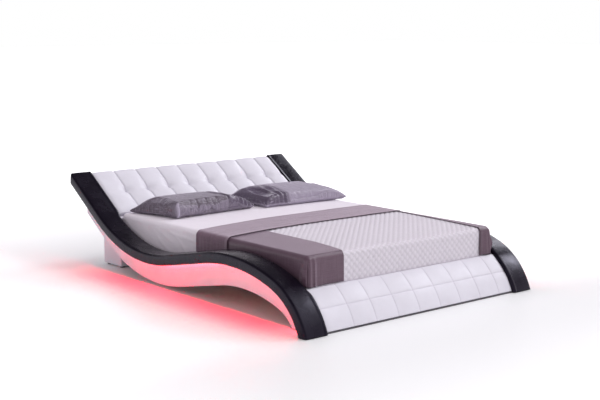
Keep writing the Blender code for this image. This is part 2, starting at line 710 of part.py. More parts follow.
def make_rear_leg(word, side, headboard_bottom):
    head = BED_LENGTH - REAR_LEG_FROM_HEAD
    foot = head - REAR_LEG_SIZE
    top_depth = headboard_bottom + GAP
    outline = [(foot, GLIDE_HEIGHT + GAP), (head, GLIDE_HEIGHT + GAP)]
    outline += line_between_stations(top_depth, foot, head)[::-1]
    inner = REAR_LEG_OUTER - REAR_LEG_SIZE
    side_piece(f"rear_leg_{word}", outline, inner, REAR_LEG_OUTER, side, WHITE_LEATHER, REAR_LEG_ROUNDING)
    x = side * (REAR_LEG_OUTER - GLIDE_INSET)
    glide = [(0.0, GLIDE_HEIGHT), (GLIDE_RADIUS, GLIDE_HEIGHT), (GLIDE_RADIUS, 0.0), (0.0, 0.0)]
    for place_word, y in (("front", foot + GLIDE_INSET), ("back", head - GLIDE_INSET)):
        turned(f"glide_{word}_{place_word}", glide, BLACK_PLASTIC, (x, y, 0.0))


def make_driver():
    """The light driver on the inner face of the left board, with the gland for its lead."""
    x = -(BOARD_INNER - GAP)
    foot = BED_LENGTH - DRIVER_FROM_HEAD - DRIVER_LENGTH
    head = foot + DRIVER_LENGTH
    top = LEDGE_BOTTOM - DRIVER_BELOW_LEDGE
    driver = box("light_driver", (x, foot, top - DRIVER_HEIGHT), (x + DRIVER_DEPTH, head, top),
                 BLACK_PLASTIC, DRIVER_ROUNDING)
    bm = bmesh.new()
    bmesh.ops.create_cone(bm, cap_ends=True, segments=TURN_STEPS, radius1=GLAND_RADIUS,
                          radius2=GLAND_RADIUS, depth=2 * GLAND_LENGTH)
    bmesh.ops.rotate(bm, matrix=Matrix.Rotation(math.radians(90.0), 3, "X"), verts=bm.verts)
    gland = place("driver_gland", mesh_from(bm, "driver_gland"), None,
                  (x + DRIVER_DEPTH / 2, head, top - DRIVER_HEIGHT / 2))
    cut(driver, gland, "UNION")


# Mattress and bedding

def round_corner(half, rounding):
    """Stations over one rounded edge as (reach, fall), from the flat top to the upright side."""
    stations = []
    for angle in evenly(0.0, math.pi / 2, ROUND_STEPS):
        stations.append((half - rounding + rounding * math.sin(angle), rounding * (1.0 - math.cos(angle))))
    return stations


def drape(half, rounding, hem_fall):
    """Stations from the flat top over the edge and down the side to the hem."""
    falls = evenly(rounding, hem_fall, DRAPE_STEPS)[1:]
    return round_corner(half, rounding) + [(half, fall) for fall in falls]


def crown(x, y):
    across = 2 * x / MATTRESS_WIDTH
    along = 2 * (y - (MATTRESS_FOOT + MATTRESS_HEAD) / 2) / MATTRESS_LENGTH
    return MATTRESS_CROWN * max(0.0, 1.0 - across ** 2) * max(0.0, 1.0 - along ** 2)


def swing_at(station):
    """How far a hem swings out at one station: a long wave with a shorter one on it, fading at the foot."""
    along = station * FOLD_STEP
    fade = min(1.0, along / FOLD_PITCH)
    share = 1.0 - FOLD_LONG_SHARE - FOLD_SHORT_SHARE
    share += FOLD_LONG_SHARE * math.sin(along * math.tau / FOLD_PITCH)
    share += FOLD_SHORT_SHARE * math.sin(along * math.tau / FOLD_PITCH_SHORT)
    return FOLD_DEPTH * share * fade


def fold(y, z):
    """The swing of a hanging side, straight between stations so that layers stay parallel."""
    station, share = divmod((y - MATTRESS_FOOT) / FOLD_STEP, 1.0)
    swing = swing_at(station) * (1.0 - share) + swing_at(station + 1) * share
    return swing * max(0.0, MATTRESS_TOP - MATTRESS_ROUNDING - z) / MATTRESS_THICKNESS


def draped_grid(columns, rows, top, lift):
    """A grid over the mattress. Columns and rows are (place, fall); falls meet in mitred corners."""
    bm = bmesh.new()
    bmesh.ops.create_grid(bm, x_segments=len(columns) - 1, y_segments=len(rows) - 1, size=1.0)
    gone = set()
    mitre = set()
    for vert in bm.verts:
        i = round((vert.co.x + 1.0) / 2 * (len(columns) - 1))
        j = round((vert.co.y + 1.0) / 2 * (len(rows) - 1))
        x, fall_x = columns[i]
        y, fall_y = rows[j]
        steep = MATTRESS_ROUNDING + lift
        fall = max(fall_x, fall_y)
        if min(fall_x, fall_y) > steep + GAP:
            gone.add(vert)
        if abs(fall_x - fall_y) < GAP:
            mitre.add(vert)
        vert.co = (x, y, top - fall + crown(x, y))
    for face in list(bm.faces):
        corners = [vert for vert in face.verts if vert in mitre]
        if len(corners) == 2:
            bmesh.ops.connect_verts(bm, verts=corners)
    doomed = [face for face in bm.faces if any(vert in gone for vert in face.verts)]
    bmesh.ops.delete(bm, geom=doomed, context="FACES")
    bmesh.ops.remove_doubles(bm, verts=bm.verts, dist=GAP / 3)
    return bm


def both_ways(stations, middle):
    """Mirrors outward stations to both sides, with even steps across the flat between them."""
    left = [(-reach, fall) for reach, fall in stations[::-1]]
    right = list(stations)
    flat = 2 * stations[0][0]
    steps = max(2, round(flat / middle))
    inner = [(x, 0.0) for x in evenly(-stations[0][0], stations[0][0], steps)[1:-1]]
    return left + inner + right


def upright_edge(edge):
    low, high = (vert.co for vert in edge.verts)
    return math.hypot(high.x - low.x, high.y - low.y) < GAP


def make_mattress():
    half = MATTRESS_WIDTH / 2
    columns = both_ways(drape(half, MATTRESS_ROUNDING, MATTRESS_THICKNESS), CLOTH_STEP)
    middle = MATTRESS_FOOT + MATTRESS_LENGTH / 2
    rows = both_ways(drape(MATTRESS_LENGTH / 2, MATTRESS_ROUNDING, MATTRESS_THICKNESS), CLOTH_STEP)
    rows = [(middle + reach, fall) for reach, fall in rows]
    bm = draped_grid(columns, rows, MATTRESS_TOP, 0.0)
    rim = [edge for edge in bm.edges if edge.is_boundary]
    bmesh.ops.contextual_create(bm, geom=rim)
    bmesh.ops.recalc_face_normals(bm, faces=bm.faces)
    round_edges(bm, upright_edge, MATTRESS_CORNER, ROUND_STEPS)
    place("mattress", mesh_from(bm, "mattress", SMOOTH_ANGLE), MATTRESS_CLOTH)


def cloth_piece(name, columns, rows, lift, material):
    """A cloth draped over the mattress: the surface first, then its thickness inwards."""
    bm = draped_grid(columns, rows, MATTRESS_TOP + lift, lift)
    half = MATTRESS_WIDTH / 2 + lift
    for vert in bm.verts:
        if abs(vert.co.x) > half - GAP and vert.co.y > MATTRESS_FOOT:
            vert.co.x += math.copysign(fold(vert.co.y, vert.co.z), vert.co.x)
    item = place(name, mesh_from(bm, name, SMOOTH_ANGLE), material)
    solidify = item.modifiers.new("thickness", "SOLIDIFY")
    solidify.thickness = CLOTH_THICKNESS
    solidify.offset = -1.0
    solidify.use_even_offset = True
    solidify.use_quality_normals = True
    return item


def rows_between(foot, head):
    """Rows at both edges and at each fold station between."""
    stations = evenly(MATTRESS_FOOT, MATTRESS_HEAD, FOLD_COUNT)
    margin = FOLD_STEP * FOLD_ROW_SHARE
    inner = [y for y in stations if foot + margin < y < head - margin]
    return [(y, 0.0) for y in (foot, *inner, head)]


def columns_across(lift):
    """Columns of a cloth that hangs down both long sides."""
    hem_fall = MATTRESS_TOP + lift - SIDE_HEM_HEIGHT
    return both_ways(drape(MATTRESS_WIDTH / 2 + lift, MATTRESS_ROUNDING + lift, hem_fall), CLOTH_STEP)


def make_sheet():
    columns = columns_across(LAYER)
    rows = rows_between(SHEET_FOOT_EDGE, MATTRESS_HEAD - MATTRESS_ROUNDING - SHEET_HEAD_MARGIN)
    cloth_piece("sheet", columns, rows, LAYER, SHEET_CLOTH)


def make_band():
    lift = 2 * LAYER
    rows = rows_between(BAND_FOOT_EDGE, BAND_HEAD_EDGE)
    cloth_piece("cover_band", columns_across(lift), rows, lift, COVER_CLOTH)


def make_strip(word, side, width, width_at_foot):
    """A side strip that also hangs over the foot corner."""
    half = MATTRESS_WIDTH / 2 + LAYER
    rounding = MATTRESS_ROUNDING + LAYER
    hem_fall = MATTRESS_TOP + LAYER - FOOT_HEM_HEIGHT
    steps = max(1, round((width - rounding) / CLOTH_STEP))
    inner = [(x, 0.0) for x in evenly(half - width, half - rounding, steps)[:-1]]
    columns = inner + drape(half, rounding, hem_fall)
    if side < 0:
        columns = [(-reach, fall) for reach, fall in columns[::-1]]
    middle = MATTRESS_FOOT + MATTRESS_LENGTH / 2
    hanging = drape(MATTRESS_LENGTH / 2 + LAYER, rounding, hem_fall)
    toe = [(middle - reach, fall) for reach, fall in hanging[::-1]]
    rows = toe + rows_between(toe[-1][0], STRIP_HEAD_EDGE)[1:]
    item = cloth_piece(f"cover_side_{word}", columns, rows, LAYER, COVER_CLOTH)
    for vert in item.data.vertices:
        from_edge = half - abs(vert.co.x)
        if from_edge > rounding:
            from_foot = (vert.co.y - MATTRESS_FOOT) / (STRIP_HEAD_EDGE - MATTRESS_FOOT)
            toward_foot = max(0.0, 1.0 - from_foot)
            target = width + (width_at_foot - width) * toward_foot ** 2
            share = (from_edge - rounding) / (width - rounding)
            vert.co.x = side * (half - rounding - share * (target - rounding))
    return item


def make_pillow(word, side):
    """A pillow: flat below, crowned above, its sides drawn in between four pulled-out corners."""
    bm, pairs = doubled_grid(PILLOW_COLUMNS, PILLOW_ROWS)
    seam = PILLOW_HEIGHT * PILLOW_SEAM_SHARE
    rest = MATTRESS_TOP + LAYER + GAP
    middle = Vector((side * PILLOW_FROM_MIDDLE, MATTRESS_HEAD - PILLOW_FROM_HEAD, rest))
    turn = Matrix.Rotation(side * PILLOW_TURN, 3, "Z")
    for low, high in pairs:
        u, v = low.co.x, low.co.y
        x = u * (PILLOW_WIDTH / 2 - PILLOW_DRAW_IN * (1.0 - v * v))
        y = v * (PILLOW_DEPTH / 2 - PILLOW_DRAW_IN * (1.0 - u * u))
        spot = middle + turn @ Vector((x, y, 0.0))
        bed = crown(spot.x, spot.y)
        puff = (1.0 - abs(u) ** 5) ** 0.5 * (1.0 - abs(v) ** 4) ** 0.5
        low.co = (x, y, bed + seam * (1.0 - puff ** 0.5))
        high.co = (x, y, bed + seam + PILLOW_PIPING + (PILLOW_HEIGHT - seam - PILLOW_PIPING) * puff)
    bmesh.ops.triangulate(bm, faces=bm.faces)
    mesh = mesh_from(bm, f"pillow_{word}", SMOOTH_ANGLE)
    place(f"pillow_{word}", mesh, PILLOW_CLOTH, middle, side * PILLOW_TURN)


for side_word, side_sign in SIDES.items():
    make_side(side_word, side_sign)
make_footboard()
HEADBOARD_BOTTOM = make_headboard()
make_base()
for side_word, side_sign in SIDES.items():
    make_rear_leg(side_word, side_sign, HEADBOARD_BOTTOM)
make_driver()
make_mattress()
make_sheet()
make_band()
make_strip("left", -1, NEAR_STRIP_WIDTH, NEAR_STRIP_WIDTH - NEAR_STRIP_NARROWING)
make_strip("right", 1, FAR_STRIP_WIDTH, FAR_STRIP_WIDTH + FAR_STRIP_WIDENING)
for side_word, side_sign in SIDES.items():
    make_pillow(side_word, side_sign)
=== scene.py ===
# %% [markdown]
# A leather bed with two wave-shaped side rails, dressed over its CAD model.
# The CAD model comes in as a fixed frame. Every piece made here is placed in the same metres,
# so a cushion goes straight to where the frame says it belongs.

# %% Load the frame
import math

import bmesh
import bpy
import numpy as np
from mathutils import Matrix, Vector


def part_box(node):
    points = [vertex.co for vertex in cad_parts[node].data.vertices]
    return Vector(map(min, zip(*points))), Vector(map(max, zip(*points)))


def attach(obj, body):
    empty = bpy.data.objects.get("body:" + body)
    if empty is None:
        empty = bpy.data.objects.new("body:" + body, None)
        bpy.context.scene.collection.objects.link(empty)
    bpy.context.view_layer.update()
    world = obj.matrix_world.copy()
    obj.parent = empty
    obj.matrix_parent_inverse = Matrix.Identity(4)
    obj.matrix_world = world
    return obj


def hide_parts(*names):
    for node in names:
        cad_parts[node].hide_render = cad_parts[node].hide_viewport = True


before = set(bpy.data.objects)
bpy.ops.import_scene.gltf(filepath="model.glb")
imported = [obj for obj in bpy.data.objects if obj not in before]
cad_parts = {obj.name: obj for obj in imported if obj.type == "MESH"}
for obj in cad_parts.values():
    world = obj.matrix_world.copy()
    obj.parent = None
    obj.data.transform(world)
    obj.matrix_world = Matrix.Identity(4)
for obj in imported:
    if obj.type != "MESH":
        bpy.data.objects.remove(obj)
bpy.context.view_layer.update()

# %% [markdown]
# The camera comes first, because it tells how fine each piece has to be.
# It stands low at the near foot corner, with a long lens, as in the photograph.

# %% Camera
CAMERA_PLACE = (-5.065, -6.129, 1.763)
CAMERA_TURN = (81.252, 0.0, -39.98)
CAMERA_LENS = 70.7
scene = bpy.context.scene


def put_in(thing):
    scene.collection.objects.link(thing)
    return thing


lens = bpy.data.cameras.new("camera")
lens.lens = CAMERA_LENS
lens.sensor_width = 36.0
camera = put_in(bpy.data.objects.new("camera", lens))
camera.location = CAMERA_PLACE
camera.rotation_euler = [math.radians(angle) for angle in CAMERA_TURN]
scene.camera = camera
scene.view_settings.view_transform = "Standard"
print("Camera lens", CAMERA_LENS, "mm")

# %% [markdown]
# Materials are built from small steps, so a few helpers come first. What varies over a surface
# is worked out by nodes and linked to the shader. What is the same all over is set on the
# shader's own inputs.

# %% Material helpers
def new_material(name, **fixed):
    """A material, its node tree and its shader, with what is the same all over already set."""
    material = bpy.data.materials.new(name)
    material.use_nodes = True
    shader = material.node_tree.nodes["Principled BSDF"]
    for key, value in fixed.items():
        shader.inputs[key.replace("_", " ")].default_value = value
    return material, material.node_tree, shader


def add_node(tree, kind, settings=None, **inputs):
    """Adds a node, sets its properties, and fills or links its inputs by name or by number."""
    node = tree.nodes.new("ShaderNode" + kind)
    for key, value in (settings or {}).items():
        setattr(node, key, value)
    for key, value in inputs.items():
        socket = node.inputs[int(key[1:]) if key[1:].isdigit() else key.replace("_", " ")]
        if isinstance(value, bpy.types.NodeSocket):
            tree.links.new(value, socket)
        else:
            socket.default_value = value
    return node


def maths(tree, operation, first, second=0.0, third=0.0):
    return add_node(tree, "Math", {"operation": operation},
                    _0=first, _1=second, _2=third).outputs[0]


def chained(tree, operation, first, *others):
    """Takes one operation through several values."""
    for other in others:
        first = maths(tree, operation, first, other)
    return first


def ramp(tree, value, low, high, from_value=0.0, to_value=1.0):
    """Maps a value smoothly from one range to another."""
    return add_node(tree, "MapRange", {"interpolation_type": "SMOOTHSTEP"},
                    _0=value, _1=low, _2=high, _3=from_value, _4=to_value).outputs[0]


def blend_colours(tree, share, first, second):
    """Mixes two colours, each given as three numbers or as another node's output."""
    first, second = ((*c, 1.0) if isinstance(c, tuple) else c for c in (first, second))
    return add_node(tree, "Mix", {"data_type": "RGBA"}, _0=share, _6=first, _7=second).outputs[2]


def object_place(tree):
    return add_node(tree, "TexCoord").outputs["Object"]


def noise(tree, place, scale, detail=2.0):
    return add_node(tree, "TexNoise", Vector=place, Scale=scale, Detail=detail).outputs[0]


def attribute(tree, name):
    return add_node(tree, "Attribute", {"attribute_name": name}).outputs["Fac"]


def link_surface(tree, shader, colour, rough, height, bump, distance=0.0003):
    """Links the colour, the roughness and the height, which shows as a bump."""
    bumped = add_node(tree, "Bump", Strength=bump, Distance=distance, Height=height).outputs[0]
    for key, value in (("Base Color", colour), ("Roughness", rough), ("Normal", bumped)):
        tree.links.new(value, shader.inputs[key])


print("Material helpers ready")

# %% [markdown]
# Beside the long sides, away from the foot, the floor also shines more where it is seen, which
# paints light into the bed's shadow there.
# The redder paint beside the strips is a painted red glow.
# The floor is a plain pale sheet. White diffuse paint lit at a plain level looks white,
# and because it is real paint it still takes the bed's shadow and the red glow of the strips.
# Beside the light strips the paint itself is redder, because under a plain light white paint
# can't show a glow as deep as the photograph's. Away from the bed it shines a little by itself
# where it is seen, so that it meets the white background.
# The world gives an even soft light and looks white where it is seen directly. In gloss it is a
# white backdrop with a darker ceiling above. Two small bluish lamps on the right stand for the
# long soft box that glows in the far rail.

# %% Floor and light
FLOOR_HALF = 60.0
FLOOR_COLOUR, FLOOR_SHADE = (0.93, 0.950, 0.936), (0.95, 0.970, 0.953)
WHITE = (1.0, 1.0, 1.0)
BED_LONG, BED_WIDE = 1.30, 0.975
# Painted glow: the floor colour in a band beside each light strip, made redder to stand in for
# their red light.
PAINTED_GLOW_COLOUR = (0.90, 0.60, 0.72)
GLOW_LINE = 0.872
GLOW_ENDS = (0.78, 1.24)
NEAR_WHITE, FAR_WHITE = (-0.06, 0.26, 0.0, 0.05), (0.4, 2.8, 0.0, 0.38)
# Painted light: the floor shines more beside the long sides, away from the foot, and lightens the
# bed's shadow there.
SIDE_SHADOW_LIFT, SIDE_SHADOW_LIFT_FROM = (BED_WIDE + 0.02, BED_WIDE + 0.40, 0.0, 0.18), (-1.55, -0.95)
SKY_STRENGTH, SKY_COLOUR = 0.55, (1.0, 0.935, 1.0)
BACKDROP_TOP, CEILING = (0.26, 0.44), 0.14
# Each lamp: its name, strength, softness in degrees, the way it comes from, and its colour.
LAMPS = (("soft_sun", 0.93, 55.0, (0.50, -0.62, 1.00), (1.0, 0.985, 1.0)),
         ("side_lamp", 0.74, 15.0, (0.79, -0.168, 0.588), (0.93, 0.93, 1.0)),
         ("second_lamp", 0.40, 15.0, (0.779, 0.284, 0.559), (0.93, 0.93, 1.0)))

floor_paint, tree, shader = new_material("floor_paint", Roughness=0.42, Specular_IOR_Level=0.25,
                                         Emission_Color=(*WHITE, 1.0))
place = object_place(tree)
parts = add_node(tree, "SeparateXYZ", Vector=place).outputs
out_x, out_y = (maths(tree, "ABSOLUTE", parts[key]) for key in "XY")
away = maths(tree, "MAXIMUM", maths(tree, "SUBTRACT", out_x, BED_WIDE),
             maths(tree, "SUBTRACT", out_y, BED_LONG))
# Where the painted red glow lies: a band beside each long side that fades out towards both ends.
glow = chained(tree, "MULTIPLY", ramp(tree, out_x, GLOW_LINE - 0.015, GLOW_LINE + 0.015),
               ramp(tree, out_x, GLOW_LINE + 0.02, GLOW_LINE + 0.42, 1.0, 0.0),
               ramp(tree, out_y, *GLOW_ENDS, 1.0, 0.0))
tone = blend_colours(tree, noise(tree, place, 0.8), FLOOR_COLOUR, FLOOR_SHADE)
tree.links.new(blend_colours(tree, glow, tone, PAINTED_GLOW_COLOUR), shader.inputs["Base Color"])
rays = add_node(tree, "LightPath").outputs
seen = chained(tree, "MAXIMUM", rays["Is Camera Ray"], rays["Is Glossy Ray"],
               rays["Is Transmission Ray"])
# The painted light beside the long sides, which lightens the bed's shadow on the floor.
beside = maths(tree, "MULTIPLY", ramp(tree, out_x, *SIDE_SHADOW_LIFT),
               ramp(tree, parts["Y"], *SIDE_SHADOW_LIFT_FROM))
white = chained(tree, "ADD", ramp(tree, away, *NEAR_WHITE), ramp(tree, away, *FAR_WHITE), beside)
tree.links.new(maths(tree, "MULTIPLY", seen, white), shader.inputs["Emission Strength"])

bm = bmesh.new()
bmesh.ops.create_grid(bm, x_segments=8, y_segments=8, size=FLOOR_HALF)
floor_mesh = bpy.data.meshes.new("floor")
bm.to_mesh(floor_mesh)
bm.free()
floor_mesh.materials.append(floor_paint)
floor = put_in(bpy.data.objects.new("floor", floor_mesh))

scene.world = bpy.data.worlds.new("studio")
scene.world.use_nodes = True
sky = scene.world.node_tree
rays = add_node(sky, "LightPath").outputs
seen = maths(sky, "MAXIMUM", rays["Is Camera Ray"], rays["Is Transmission Ray"])
direction = add_node(sky, "TexCoord").outputs["Generated"]
upward = add_node(sky, "SeparateXYZ", Vector=direction).outputs["Z"]
mirrored = ramp(sky, upward, *BACKDROP_TOP, 1.0, CEILING)
level = maths(sky, "MULTIPLY_ADD", rays["Is Glossy Ray"],
              maths(sky, "SUBTRACT", mirrored, SKY_STRENGTH), SKY_STRENGTH)
background = sky.nodes["Background"].inputs
sky.links.new(blend_colours(sky, seen, SKY_COLOUR, WHITE), background["Color"])
sky.links.new(maths(sky, "MAXIMUM", seen, level), background["Strength"])

for name, strength, softness, come_from, colour in LAMPS:
    light = bpy.data.lights.new(name, "SUN")
    light.energy = strength
    light.color = colour
    light.angle = math.radians(softness)
    lamp = put_in(bpy.data.objects.new(name, light))
    lamp.rotation_euler = Vector(come_from).to_track_quat("Z", "Y").to_euler()
print("Floor half size", FLOOR_HALF, "m, sky", SKY_STRENGTH, "and", len(LAMPS), "lamps")

# %% [markdown]
# Leather is never smooth: it has a fine pebbled grain, and broad soft patches where the hide
# takes light differently. Both go in one node group, so black and white leather share it.
# The grain is a cell pattern a millimetre or two across, read in object space.

# %% Leather grain group
GRAIN_CELLS = 420.0


def new_group(name, inputs, outputs):
    """A node group with its inputs and outputs; an input without a default is a vector."""
    group = bpy.data.node_groups.new(name, "ShaderNodeTree")
    for key, value in inputs.items():
        kind = "NodeSocketVector" if value is None else "NodeSocketFloat"
        socket = group.interface.new_socket(key, in_out="INPUT", socket_type=kind)
        if value is not None:
            socket.default_value = value
    for key in outputs:
        group.interface.new_socket(key, in_out="OUTPUT", socket_type="NodeSocketFloat")
    return (group, group.nodes.new("NodeGroupInput").outputs,
            group.nodes.new("NodeGroupOutput").inputs)


def use_group(tree, group, **inputs):
    return add_node(tree, "Group", {"node_tree": group}, **inputs).outputs


hide, given, out = new_group("leather_grain", {"Place": None, "Cells": GRAIN_CELLS},
                             ("Height", "Tone"))
warp = add_node(hide, "TexNoise", Vector=given["Place"], Scale=60.0, Detail=2.0)
bent = add_node(hide, "VectorMath", {"operation": "MULTIPLY_ADD"}, _0=warp.outputs["Color"],
                _1=(0.003, 0.003, 0.003), _2=given["Place"])
cells = add_node(hide, "TexVoronoi", {"feature": "DISTANCE_TO_EDGE"}, Vector=bent.outputs[0],
                 Scale=given["Cells"])
pebble = ramp(hide, cells.outputs["Distance"], 0.0, 0.22)
fine = noise(hide, given["Place"], 900.0)
hide.links.new(maths(hide, "MULTIPLY_ADD", fine, 0.35, pebble), out["Height"])
hide.links.new(ramp(hide, noise(hide, given["Place"], 7.0, 4.0), 0.3, 0.7), out["Tone"])
print("Leather grain group with", len(hide.nodes), "nodes")

# %% [markdown]
# Two leathers are made from that group. Each piece that is sewn carries an attribute that gives
# the distance from its nearest seam, so the material can darken the seam and lay its stitches
# beside it, however the piece is bent.

# %% Leathers
SEAM_REACH = 0.0035
SEAM_DARK = 0.75
STITCH_OFFSET = 0.0045
STITCH_HALF = 0.0007
STITCH_PITCH = 0.006
STITCH_SHARE = 0.68
STITCH_RISE = 2.5


def make_leather(name, colour, shade, roughness, seam_colour, thread_colour, bump, **fixed):
    material, tree, shader = new_material(name, **fixed)
    grain = use_group(tree, hide, Place=object_place(tree), Cells=GRAIN_CELLS)
    tone = blend_colours(tree, grain["Tone"], colour, shade)
    seam = attribute(tree, "seam")
    near = ramp(tree, seam, 0.0, SEAM_REACH, SEAM_DARK, 0.0)
    tone = blend_colours(tree, near, tone, seam_colour)
    offset = maths(tree, "ABSOLUTE", maths(tree, "SUBTRACT", seam, STITCH_OFFSET))
    line = ramp(tree, offset, STITCH_HALF * 0.6, STITCH_HALF, 1.0, 0.0)
    run = maths(tree, "FRACT", maths(tree, "DIVIDE", attribute(tree, "run"), STITCH_PITCH))
    thread = maths(tree, "MULTIPLY", line, maths(tree, "LESS_THAN", run, STITCH_SHARE))
    tone = blend_colours(tree, thread, tone, thread_colour)
    rough = ramp(tree, grain["Tone"], 0.0, 1.0, roughness - 0.05, roughness + 0.06)
    height = maths(tree, "MULTIPLY_ADD", thread, STITCH_RISE, grain["Height"])
    link_surface(tree, shader, tone, rough, height, bump)
    return material


black_leather = make_leather(
    "black_leather", (0.0055, 0.0036, 0.0086), (0.0080, 0.0054, 0.0120), 0.24,
    (0.002, 0.0015, 0.003), (0.020, 0.017, 0.026), 0.14,
    Specular_IOR_Level=0.24, Specular_Tint=(0.80, 0.77, 1.0, 1.0))
white_leather = make_leather(
    "white_leather", (0.785, 0.778, 0.838), (0.742, 0.733, 0.79), 0.38,
    (0.63, 0.60, 0.68), (0.72, 0.70, 0.77), 0.16, Specular_IOR_Level=0.20)
print("Leathers", black_leather.name, white_leather.name)

# %% [markdown]
# The top line of a rail is one wave. It is described as a maker's template would be: three arcs
# and two straight runs. From it come the distance along the wave, the place and the heading.
# All the leather pieces are laid out by how far along the wave and how deep below it they are.

# %% The wave
BED_HALF = 1.300233
FOOT_LIFT = 0.0023
WAVE_START = 70.5
# An arc is given by its radius and the heading it ends with, in degrees; a run by its length.
WAVE_PARTS = (("arc", 0.490, 19.2), ("arc", 1.312, -11.2), ("run", 0.436),
              ("arc", 1.072, 33.7), ("run", 0.460))
WAVE_STEP = 0.002
FIRST_ARC = 0.5


def trace_wave():
    rows = [(0.0, -BED_HALF, FOOT_LIFT, math.radians(WAVE_START))]
    for part in WAVE_PARTS:
        start, y, z, heading = rows[-1]
        if part[0] == "arc":
            turn = math.radians(part[2]) - heading
            length = part[1] * abs(turn)
            bend = turn / length
        else:
            length, bend = part[1], 0.0
        steps = round(length / WAVE_STEP)
        for step in range(1, steps + 1):
            gone = length * step / steps
            aim = heading + bend * gone
            if bend:
                there = (y + (math.sin(aim) - math.sin(heading)) / bend,
                         z - (math.cos(aim) - math.cos(heading)) / bend)
            else:
                there = (y + gone * math.cos(aim), z + gone * math.sin(aim))
            rows.append((start + gone, *there, aim))
    return np.array(rows).T


WAVE_S, WAVE_Y, WAVE_Z, WAVE_H = trace_wave()
WAVE_LENGTH = WAVE_S[-1]


def wave(distance, depth):
    """The place, y and z, at this distance along the wave and this depth below it."""
    heading = np.interp(distance, WAVE_S, WAVE_H)
    return (np.interp(distance, WAVE_S, WAVE_Y) + depth * np.sin(heading),
            np.interp(distance, WAVE_S, WAVE_Z) - depth * np.cos(heading))


def where_height(depth, z):
    """How far along the wave the line at this depth rises past height z, near the foot."""
    first = WAVE_S < FIRST_ARC
    return np.interp(z, (WAVE_Z - depth * np.cos(WAVE_H))[first], WAVE_S[first])


def where_station(depth, y):
    return np.interp(y, WAVE_Y + depth * np.sin(WAVE_H), WAVE_S)


def per_depth(depths, rule):
    """Applies a rule once to each different depth."""
    levels, index = np.unique(np.round(depths, 6), return_inverse=True)
    return np.array([rule(level) for level in levels])[index]


print("Wave length", round(WAVE_LENGTH, 4), "m, head end at y", round(WAVE_Y[-1], 4))

# %% [markdown]
# Most pieces start as a flat grid from create_grid. Each vertex remembers which place across
# and along it stands for, and is then moved to its point in space. The two remembered numbers
# stay on the mesh, so a weave can follow the cloth.

# %% Grid helpers
WELD = 0.00004
# The hem number marks stitching, and also painted shade on cloth edges, quilting valleys and pillow
# creases.
KEPT = ("across", "along", "seam", "run", "hem")
SEAM_FAR = 0.05


def new_mesh():
    """An empty bmesh whose vertices can carry the kept numbers."""
    bm = bmesh.new()
    for name in KEPT:
        bm.verts.layers.float.new(name)
    return bm


def stations(*stops):
    """Stations between stops, given as first, (next, step), (next, step)..."""
    places = [stops[0]]
    for stop, step in stops[1:]:
        count = max(1, round(abs(stop - places[-1]) / step))
        start = places[-1]
        places += [start + (stop - start) * i / count for i in range(1, count + 1)]
    return np.array(places)


def move_to(verts, points):
    for vert, point in zip(verts, points):
        vert.co = point


def keep_number(bm, name, verts, values):
    """Stores one number per vertex, to be read in the material as an attribute."""
    layer = bm.verts.layers.float[name]
    for vert, value in zip(verts, values):
        vert[layer] = value


def laid_grid(bm, across, along):
    """Adds a grid; returns its vertices with the arrays of places that they stand for."""
    made = bmesh.ops.create_grid(bm, x_segments=len(across) - 1, y_segments=len(along) - 1,
                                 size=1.0)
    verts, kept = made["verts"], []
    for axis, places, name in ((0, across, "across"), (1, along, "along")):
        at = np.array([vert.co[axis] for vert in verts])
        kept.append(places[np.rint((at + 1) / 2 * (len(places) - 1)).astype(int)])
        keep_number(bm, name, verts, kept[-1])
    return verts, *kept


def add_back(bm, verts, points):
    """Extrudes the whole sheet and moves the copy to the points, so the piece has a back."""
    owner = {tuple(vert.co): point for vert, point in zip(verts, points)}
    made = bmesh.ops.extrude_face_region(bm, geom=list(bm.faces), use_keep_orig=True)
    for item in made["geom"]:
        if isinstance(item, bmesh.types.BMVert):
            item.co = owner[tuple(item.co)]


def finished(bm, name, material, slot, *stands_for, weld=WELD):
    """Welds and turns the faces outward, makes the object, and lets it ride on the bed."""
    bmesh.ops.remove_doubles(bm, verts=bm.verts, dist=weld)
    bmesh.ops.recalc_face_normals(bm, faces=bm.faces)
    if all(edge.is_manifold for edge in bm.edges) and bm.calc_volume(signed=True) < 0.0:
        bmesh.ops.reverse_faces(bm, faces=bm.faces)
    mesh = bpy.data.meshes.new(name)
    bm.to_mesh(mesh)
    bm.free()
    mesh.shade_smooth()
    mesh.materials.append(material)
    piece = put_in(bpy.data.objects.new(name, mesh))
    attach(piece, "bed")
    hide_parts(*stands_for)
    print(name, len(mesh.polygons), "faces")
    return piece


def soft_noise(x, y, seed=0):
    """Smooth bumps from -1 to 1, about one to a unit square, the same on every run."""
    table = np.random.default_rng(seed).uniform(-1.0, 1.0, (64, 64))
    i, j = np.floor(x).astype(int), np.floor(y).astype(int)
    u, v = x - i, y - j
    u, v = u * u * (3 - 2 * u), v * v * (3 - 2 * v)
    low = table[i % 64, j % 64] * (1 - u) + table[(i + 1) % 64, j % 64] * u
    high = table[i % 64, (j + 1) % 64] * (1 - u) + table[(i + 1) % 64, (j + 1) % 64] * u
    return low * (1 - v) + high * v


def bell(offset, reach):
    return np.exp(-(offset / reach) ** 2)


print("Grid helpers ready")

# %% [markdown]
# The side rails are padded channels wrapped in black leather. The leather is pulled tight over
# foam, so the section is a rectangle with soft corners and slightly swollen faces. A section is
# swept along the wave; its foot is cut level on the floor and its head is rolled in. Where a rail
# meets the two boards its leather laps over their pads.

# %% Side rails
SIDES = (("left", -1), ("right", 1))
RAIL_INNER, RAIL_OUTER = 0.8125, 0.975
RAIL_THICKNESS = 0.072
RAIL_CORNER = 0.016
RAIL_SWELL = 0.0022
RAIL_LAP = 0.013
LAP_FOOT, LAP_HEAD = 0.31, 0.50
RAIL_ROLL = 0.014
RAIL_SEAM = WAVE_LENGTH - 0.640
RAIL_HALF = (RAIL_OUTER - RAIL_INNER) / 2
END_FADE = 0.08


